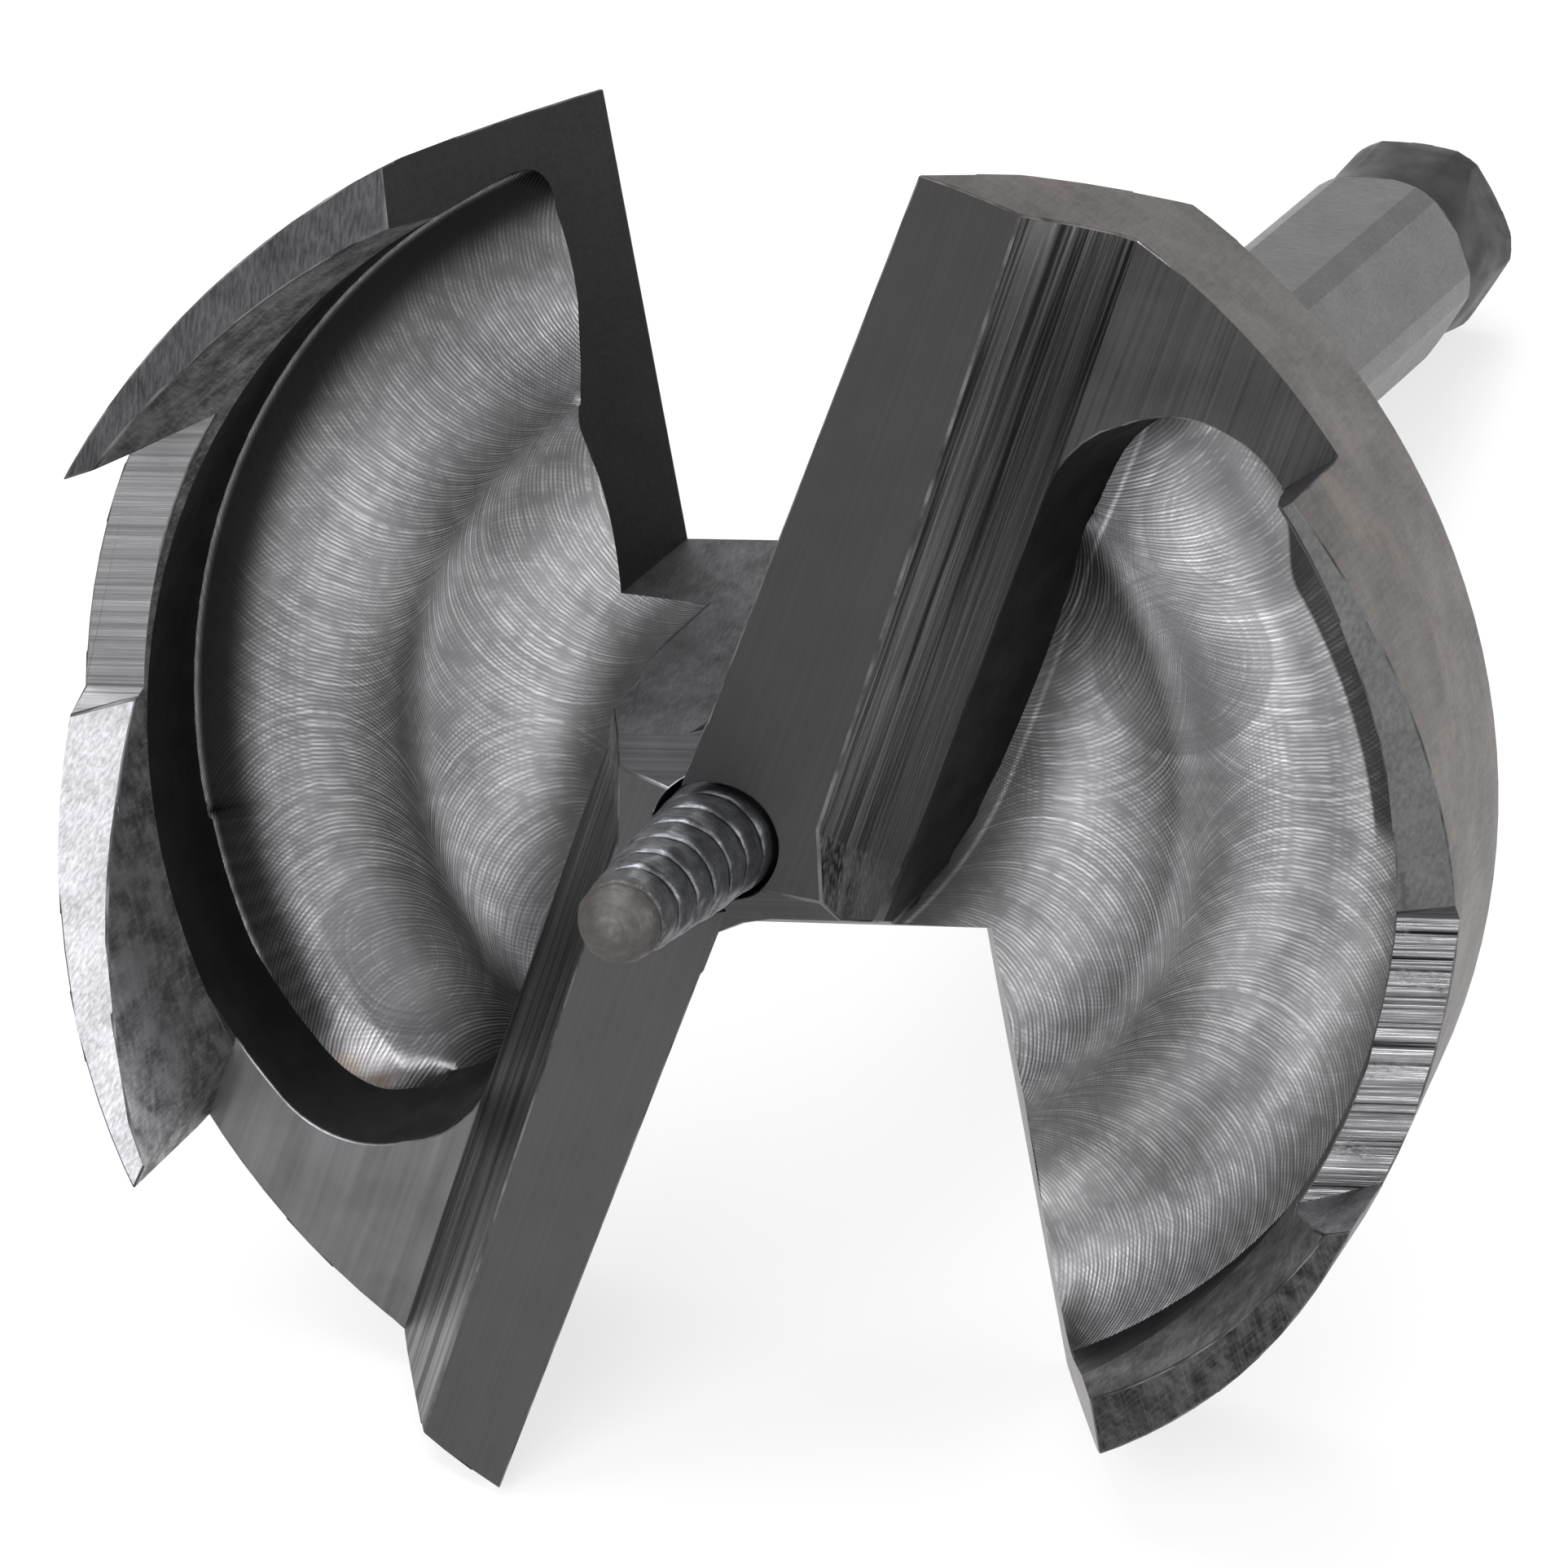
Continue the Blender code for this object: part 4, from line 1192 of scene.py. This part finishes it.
    @staticmethod
    def in_pocket(centre: Vector, normal: Vector) -> bool:
        """Whether a steep face below the flat belongs to a pocket and not to a chip opening."""
        for wing in Wing:
            place = wing.turn @ centre
            facing = wing.turn @ normal
            if place.dot(BEHIND) > 3.0 and place.x > 0.0 and place.z > -17.5 and facing.z > -0.05:
                return True
        return False

    @staticmethod
    def join_flat_faces(bm: bmesh.types.BMesh) -> None:
        """Join the triangles of each plane face, so that its outline alone is left."""
        bmesh.ops.dissolve_limit(
            bm,
            angle_limit=radians(0.05),
            use_dissolve_boundaries=False,
            verts=bm.verts,
            edges=bm.edges,
            delimit={"MATERIAL"},
        )

    def wear_edges(self, bm: bmesh.types.BMesh) -> None:
        """Round the sharp outer edges by a narrow worn strip."""
        bm.normal_update()
        least = self.narrow * self.edge_width
        narrow = {face for face in bm.faces if 2.0 * face.calc_area() < least * face.calc_perimeter()}
        edges = []
        for edge in bm.edges:
            if len(edge.link_faces) != 2 or any(face in narrow for face in edge.link_faces):
                continue
            if any(self.zone_at(face) is Zone.POCKET_FLOOR for face in edge.link_faces):
                continue
            if edge.is_convex and edge.calc_face_angle() > self.sharp_angle:
                edges.append(edge)
        bmesh.ops.bevel(
            bm,
            geom=edges,
            offset=self.edge_width,
            offset_type="OFFSET",
            segments=2,
            profile=0.5,
            affect="EDGES",
            clamp_overlap=False,
            material=self.slot_of(Zone.EDGE, Wing.A),
        )

    def lay_floors(self, bm: bmesh.types.BMesh) -> None:
        """Take the pocket floors out and lay them anew, in small even triangles on the milled form."""
        for wing in Wing:
            slot = self.slot_of(Zone.POCKET_FLOOR, wing)
            faces = [face for face in bm.faces if face.material_index == slot]
            bmesh.ops.delete(bm, geom=faces, context="FACES_KEEP_BOUNDARY")
            border = [edge for edge in bm.edges if edge.is_boundary]
            bmesh.ops.remove_doubles(bm, verts=self.ends_of(bm, border), dist=0.03)
            while True:
                border = [edge for edge in bm.edges if edge.is_boundary]
                long = [edge for edge in border if edge.calc_length() > self.floor_step]
                if not long:
                    break
                bmesh.ops.subdivide_edges(bm, edges=long, cuts=1)
            rim = self.ends_of(bm, border)
            moves = [(vertex, self.way_up(vertex) * self.rise_at(vertex, wing)) for vertex in rim]
            for vertex, move in moves:
                vertex.co += move
            self.fill_floor(bm, rim, border, wing)
            gaps = bmesh.ops.holes_fill(bm, edges=[edge for edge in bm.edges if edge.is_boundary], sides=0)
            for face in gaps["faces"]:
                face.material_index = slot

    @staticmethod
    def ends_of(bm: bmesh.types.BMesh, edges: Sequence[bmesh.types.BMEdge]) -> list[bmesh.types.BMVert]:
        """The vertices of some edges, in the mesh's own order."""
        bm.verts.index_update()
        return sorted({vertex for edge in edges for vertex in edge.verts}, key=lambda vertex: vertex.index)

    def rise_at(self, vertex: bmesh.types.BMVert, wing: Wing) -> float:
        """How far a border vertex has to rise towards the milled form, the less the farther it is from it."""
        rise = self.floor_level(vertex.co, wing) - vertex.co.z
        return rise * max(0.0, 1.0 - (rise / self.reach) ** 2)

    def fill_floor(
        self,
        bm: bmesh.types.BMesh,
        rim: Sequence[bmesh.types.BMVert],
        border: Sequence[bmesh.types.BMEdge],
        wing: Wing,
    ) -> None:
        """Fill a floor's border with triangles whose corners lie on the milled form.

        Args:
            bm: The mesh.
            rim: The border's vertices.
            border: The border's edges.
            wing: The wing whose floor it is.
        """
        number = {vertex: place for place, vertex in enumerate(rim)}
        near = KDTree(len(rim))
        for vertex, place in number.items():
            near.insert((vertex.co.x, vertex.co.y, 0.0), place)
        near.balance()
        points = [Vector((vertex.co.x, vertex.co.y)) for vertex in rim]
        points += [
            point for point in self.floor_points(wing)
            if near.find((point.x, point.y, 0.0))[2] > 0.55 * self.floor_step
        ]
        edges = [(number[edge.verts[0]], number[edge.verts[1]]) for edge in border]
        places, _, triangles, origins, _, _ = delaunay_2d_cdt(points, edges, [], 1, 1e-5)
        corners: dict[int, bmesh.types.BMVert] = {}
        for place in sorted({place for triangle in triangles for place in triangle}):
            origin = origins[place][0] if origins[place] else len(rim)
            if origin < len(rim):
                corners[place] = rim[origin]
                continue
            point = places[place]
            _, closest, gap = near.find((point.x, point.y, 0.0))
            drop = rim[closest].co.z - self.floor_level(rim[closest].co, wing)
            share = max(0.0, 1.0 - gap / self.reach) ** 2
            level = self.floor_level(point, wing) + drop * share
            corners[place] = bm.verts.new((point.x, point.y, level))
        for triangle in triangles:
            face = bm.faces.new([corners[place] for place in triangle])
            face.material_index = self.slot_of(Zone.POCKET_FLOOR, wing)

    def floor_points(self, wing: Wing) -> Iterable[Vector]:
        """Points on rings round the axis over the whole of a wing's side, one step apart."""
        rings = int(POCKET_RADIUS / self.floor_step) + 1
        for ring in range(12, rings):
            radius = ring * self.floor_step * 0.9
            count = int(pi * radius / (self.floor_step * 0.95))
            for i in range(count + 1):
                azimuth = -pi / 2.0 + pi * (i + 0.5 * (ring % 2)) / count
                point = wing.turn @ Vector((cos(azimuth), sin(azimuth), 0.0)) * radius
                yield Vector((point.x, point.y))

    def way_up(self, vertex: bmesh.types.BMVert) -> Vector:
        """Where a border vertex goes for each millimetre it rises: along its wall, or both its walls' corner.

        Args:
            vertex: The vertex.

        Returns:
            The way, with a height of 1, or none where there is no such way.
        """
        walls = [face.normal for face in vertex.link_faces]
        first = walls[0]
        other = min(walls, key=first.dot)
        way = first.cross(other)
        if other.dot(first) > 0.9 or abs(way.z) < 0.8 * way.length:
            mean = sum(walls, Vector()).normalized()
            way = UP - mean * mean.z
        return way / way.z if abs(way.z) > 0.5 * way.length else Vector()

    def mark_sharp(self, bm: bmesh.types.BMesh) -> None:
        """Shade smoothly within a surface and break the shading where two surfaces meet."""
        bm.normal_update()
        for face in bm.faces:
            face.smooth = True
        for edge in bm.edges:
            if len(edge.link_faces) != 2:
                continue
            first, second = edge.link_faces
            angle = edge.calc_face_angle(0.0)
            same = first.material_index == second.material_index
            if same and self.zone_at(first) is Zone.POCKET_FLOOR:
                edge.smooth = True
                continue
            edge.smooth = angle < radians(24.0 if same else 3.0)

    def floor_level(self, point: Vector, wing: Wing) -> float:
        """Level of a wing's milled floor at a point.

        Args:
            point: The point, in the bit's axes.
            wing: The wing.

        Returns:
            The level in millimetres.
        """
        place = wing.turn @ Vector((point[0], point[1], 0.0))
        radius = min(place.length, POCKET_RADIUS - 0.001)
        ring = 1 if radius > RIDGE_RADIUS else 0
        last = RING_CENTRES[1] + RING_HALF_WIDTH / 2.0
        across = (min(radius, last) - RING_CENTRES[ring]) / RING_HALF_WIDTH
        share = min(1.0, abs(across))
        crest = max(0.0, share - CREST_START) / (1.0 - CREST_START)
        over = max(0.0, min(1.0, (radius - RIDGE_RADIUS) / (2.0 * CREST_WIDTH) + 0.5))
        floor = RING_FLOORS[0] + (RING_FLOORS[1] - RING_FLOORS[0]) * over * over * (3.0 - 2.0 * over)
        level = floor + RIDGE_RISE * (share * share - (1.0 - CREST_START) * crest * crest)
        return level + self.mills[wing].fillet_rise(place)


@dataclass
class FeedScrew:
    """The screw that draws the bit in: a plain shank in the bore, and a tapered thread worn round.

    Args:
        axes: The bit's axes.
        depth: Depth of the thread in millimetres.
        sharpness: How narrow the groove between the turns is.
        wear: Depth of the broad hollows of wear in millimetres.
        fine_wear: Depth of the small hollows of wear in millimetres.
        segments: Sides of the screw.
        rings: Rings to a turn of the thread.
    """

    axes: BitAxes
    depth: float = 0.24
    sharpness: float = 7.0
    wear: float = 0.04
    fine_wear: float = 0.03
    segments: int = 96
    rings: int = 20

    def build(self) -> bpy.types.Object:
        """Spin the screw's outline round and press the thread into it.

        Returns:
            The piece.
        """
        bm = bmesh.new()
        steps = round((SCREW_TIP_LEVEL - THREAD_BASE) / THREAD_PITCH * self.rings)
        levels = [THREAD_BASE + (SCREW_TIP_LEVEL - THREAD_BASE) * i / steps for i in range(steps)]
        outline = [(0.0, SCREW_FOOT_LEVEL), (SCREW_RADIUS, SCREW_FOOT_LEVEL)]
        outline += [(self.outline_radius(level), level) for level in levels] + [(0.0, SCREW_TIP_LEVEL)]
        points = [bm.verts.new((radius, 0.0, level)) for radius, level in outline]
        edges = [bm.edges.new(pair) for pair in zip(points, points[1:])]
        bmesh.ops.spin(
            bm, geom=points + edges, axis=UP, cent=(0.0, 0.0, 0.0), angle=2.0 * pi, steps=self.segments,
            use_merge=True,
        )
        bmesh.ops.remove_doubles(bm, verts=bm.verts, dist=0.0005)
        bmesh.ops.recalc_face_normals(bm, faces=bm.faces)
        for vertex in bm.verts:
            self.press_thread(vertex)
        for face in bm.faces:
            face.smooth = True
        piece = place_piece("dressed_feed_screw", bm, self.axes)
        piece.data.materials.append(SCREW_FINISH.build(self.axes))
        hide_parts("feed_screw")
        return piece

    @staticmethod
    def outline_radius(level: float) -> float:
        """The screw's radius over its crests at a level."""
        share = (level - THREAD_BASE) / (SCREW_TIP_LEVEL - THREAD_BASE)
        radius = SCREW_RADIUS + (SCREW_TIP_RADIUS - SCREW_RADIUS) * share ** SCREW_TAPER
        room = SCREW_TIP_LEVEL - level
        if room < SCREW_TIP_RADIUS:
            radius *= sqrt(1.0 - (1.0 - room / SCREW_TIP_RADIUS) ** 2)
        return radius

    def press_thread(self, vertex: bmesh.types.BMVert) -> None:
        """Move a vertex in by the thread's depth at its place, with the unevenness of wear."""
        radius = Vector((vertex.co.x, vertex.co.y)).length
        if vertex.co.z < THREAD_BASE + 0.01 or radius < 0.01:
            return
        azimuth = atan2(vertex.co.y, vertex.co.x)
        turn = (vertex.co.z - THREAD_BASE) / THREAD_PITCH - azimuth / (2.0 * pi)
        hollow = abs(2.0 * (turn % 1.0) - 1.0) ** self.sharpness
        room = SCREW_TIP_LEVEL - vertex.co.z
        fade = min(1.0, (vertex.co.z - THREAD_BASE) / THREAD_PITCH)
        fade *= min(1.0, room / (1.3 * SCREW_TIP_RADIUS))
        wear = self.wear * (1.0 + sin(5.0 * azimuth + 2.3 * vertex.co.z))
        wear += self.fine_wear * (1.0 + sin(11.0 * azimuth - vertex.co.z))
        scale = (radius - fade * (self.depth * hollow + wear * (1.0 - hollow))) / radius
        vertex.co.x *= scale
        vertex.co.y *= scale


@dataclass
class Studio:
    """Camera, floor, world and lamps.

    Args:
        axes: The bit's axes, in which the camera's place was found.
        camera_place: Camera's place in millimetres.
        camera_aim: A point it looks at, in millimetres.
        roll: Its turn about the view direction.
        focal_length: In millimetres on a 36 mm wide sensor.
    """

    axes: BitAxes
    camera_place: Vector = field(default_factory=lambda: Vector((219.708, 177.312, 539.053)))
    camera_aim: Vector = field(default_factory=lambda: Vector((4.696, 3.56, 0.0)))
    roll: float = radians(-1.369)
    focal_length: float = 274.06

    def build(self) -> None:
        """Set the whole studio."""
        self.set_camera()
        self.lay_floor()
        self.light()

    def set_camera(self) -> None:
        """Place the camera as the photograph has it, relative to the bit."""
        data = bpy.data.cameras.new("camera")
        data.sensor_width = 36.0
        data.lens = self.focal_length
        data.clip_start = 0.01
        camera = add_object("camera", data)
        place = self.axes.to_row(self.camera_place)
        look = self.axes.to_row(self.camera_aim) - place
        turn = look.to_track_quat("-Z", "Y").to_matrix().to_4x4()
        camera.matrix_world = Matrix.Translation(place) @ turn @ Matrix.Rotation(self.roll, 4, "Z")
        bpy.context.scene.camera = camera

    def lay_floor(self) -> None:
        """Lay a white floor that keeps the bit's shadow."""
        bm = bmesh.new()
        bmesh.ops.create_circle(bm, cap_ends=True, segments=96, radius=2.5)
        floor = add_object("floor", bm)
        material = bpy.data.materials.new("floor_white")
        sheet = Sheet(material, clear=True)
        path = sheet.add("ShaderNodeLightPath")
        seen = sheet.calculate("MAXIMUM", path.outputs["Is Camera Ray"], path.outputs["Is Glossy Ray"])
        paint = sheet.add("ShaderNodeBsdfDiffuse", {}, {"Color": (0.86, 0.86, 0.86)})
        glow = sheet.add("ShaderNodeEmission")
        share = sheet.calculate("MULTIPLY", seen, FLOOR_GLOW)
        sheet.blend(share, paint, glow, "ShaderNodeOutputMaterial")
        floor.data.materials.append(material)
        floor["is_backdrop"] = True

    def light(self) -> None:
        """Set the world's even light and the soft lamps."""
        scene = bpy.context.scene
        scene.view_settings.view_transform = "Standard"
        world = bpy.data.worlds.new("studio")
        scene.world = world
        sheet = Sheet(world, clear=True)
        path = sheet.add("ShaderNodeLightPath")
        even = sheet.add("ShaderNodeBackground", {}, {"Color": (0.96, 0.95, 1.0), "Strength": EVEN_LIGHT})
        white = sheet.add("ShaderNodeBackground", {}, {"Color": (1.0, 1.0, 1.0)})
        mirrored = sheet.calculate("MULTIPLY", path.outputs["Is Glossy Ray"], MIRRORED_WHITE)
        seen = sheet.calculate("MAXIMUM", path.outputs["Is Camera Ray"], mirrored)
        sheet.blend(seen, even, white, "ShaderNodeOutputWorld")
        target = self.axes.to_row(Vector((0.0, 0.0, -5.0)))
        self.lamp("front_softbox", target, Vector((-0.1, -0.81, 0.57)), 0.9, 0.55, 8.0)
        self.lamp("top_softbox", target, Vector((-0.25, 0.25, 0.95)), 1.0, 0.8, 10.0)
        self.lamp("right_softbox", target, Vector((0.9, -0.1, 0.35)), 1.0, 0.5, 4.0)

    @staticmethod
    def lamp(name: str, target: Vector, way: Vector, distance: float, size: float, power: float) -> None:
        """Add a square soft lamp.

        Args:
            name: Its name.
            target: What it faces, in the row frame.
            way: Direction from the target to the lamp.
            distance: How far away it is, in metres.
            size: Its side, in metres.
            power: Its power in watts.
        """
        data = bpy.data.lights.new(name, "AREA")
        data.shape = "SQUARE"
        data.size = size
        data.energy = power
        data.color = (1.0, 0.985, 1.04)
        lamp = add_object(name, data)
        way = way.normalized()
        turn = way.to_track_quat("Z", "Y").to_matrix().to_4x4()
        lamp.matrix_world = Matrix.Translation(target + way * distance) @ turn


def write_sizes() -> None:
    """Lay the CAD box and the dressed part's box side by side; nothing is written out."""
    boxes = {"cad": CAD_BOX, "visual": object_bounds()}
    plain = {name: [list(map(float, corner)) for corner in box] for name, box in boxes.items()}


def main() -> None:
    """Dress the bit and set the studio."""
    logging.basicConfig(level=logging.INFO, format="%(name)s: %(message)s")
    axes = BitAxes.from_mounts(frame["record"]["mounts"])
    body = BitBody(axes, frame["nodes"]["bit_body"]).build()
    screw = FeedScrew(axes).build()
    for piece in (body, screw):
        LOG.info("built %s with %d faces", piece.name, len(piece.data.polygons))
    frame["nodes"]["set_screw"].material_slots[0].material = SET_SCREW_FINISH.build(axes)
    Studio(axes).build()
    write_sizes()


if __name__ == "__main__":
    main()
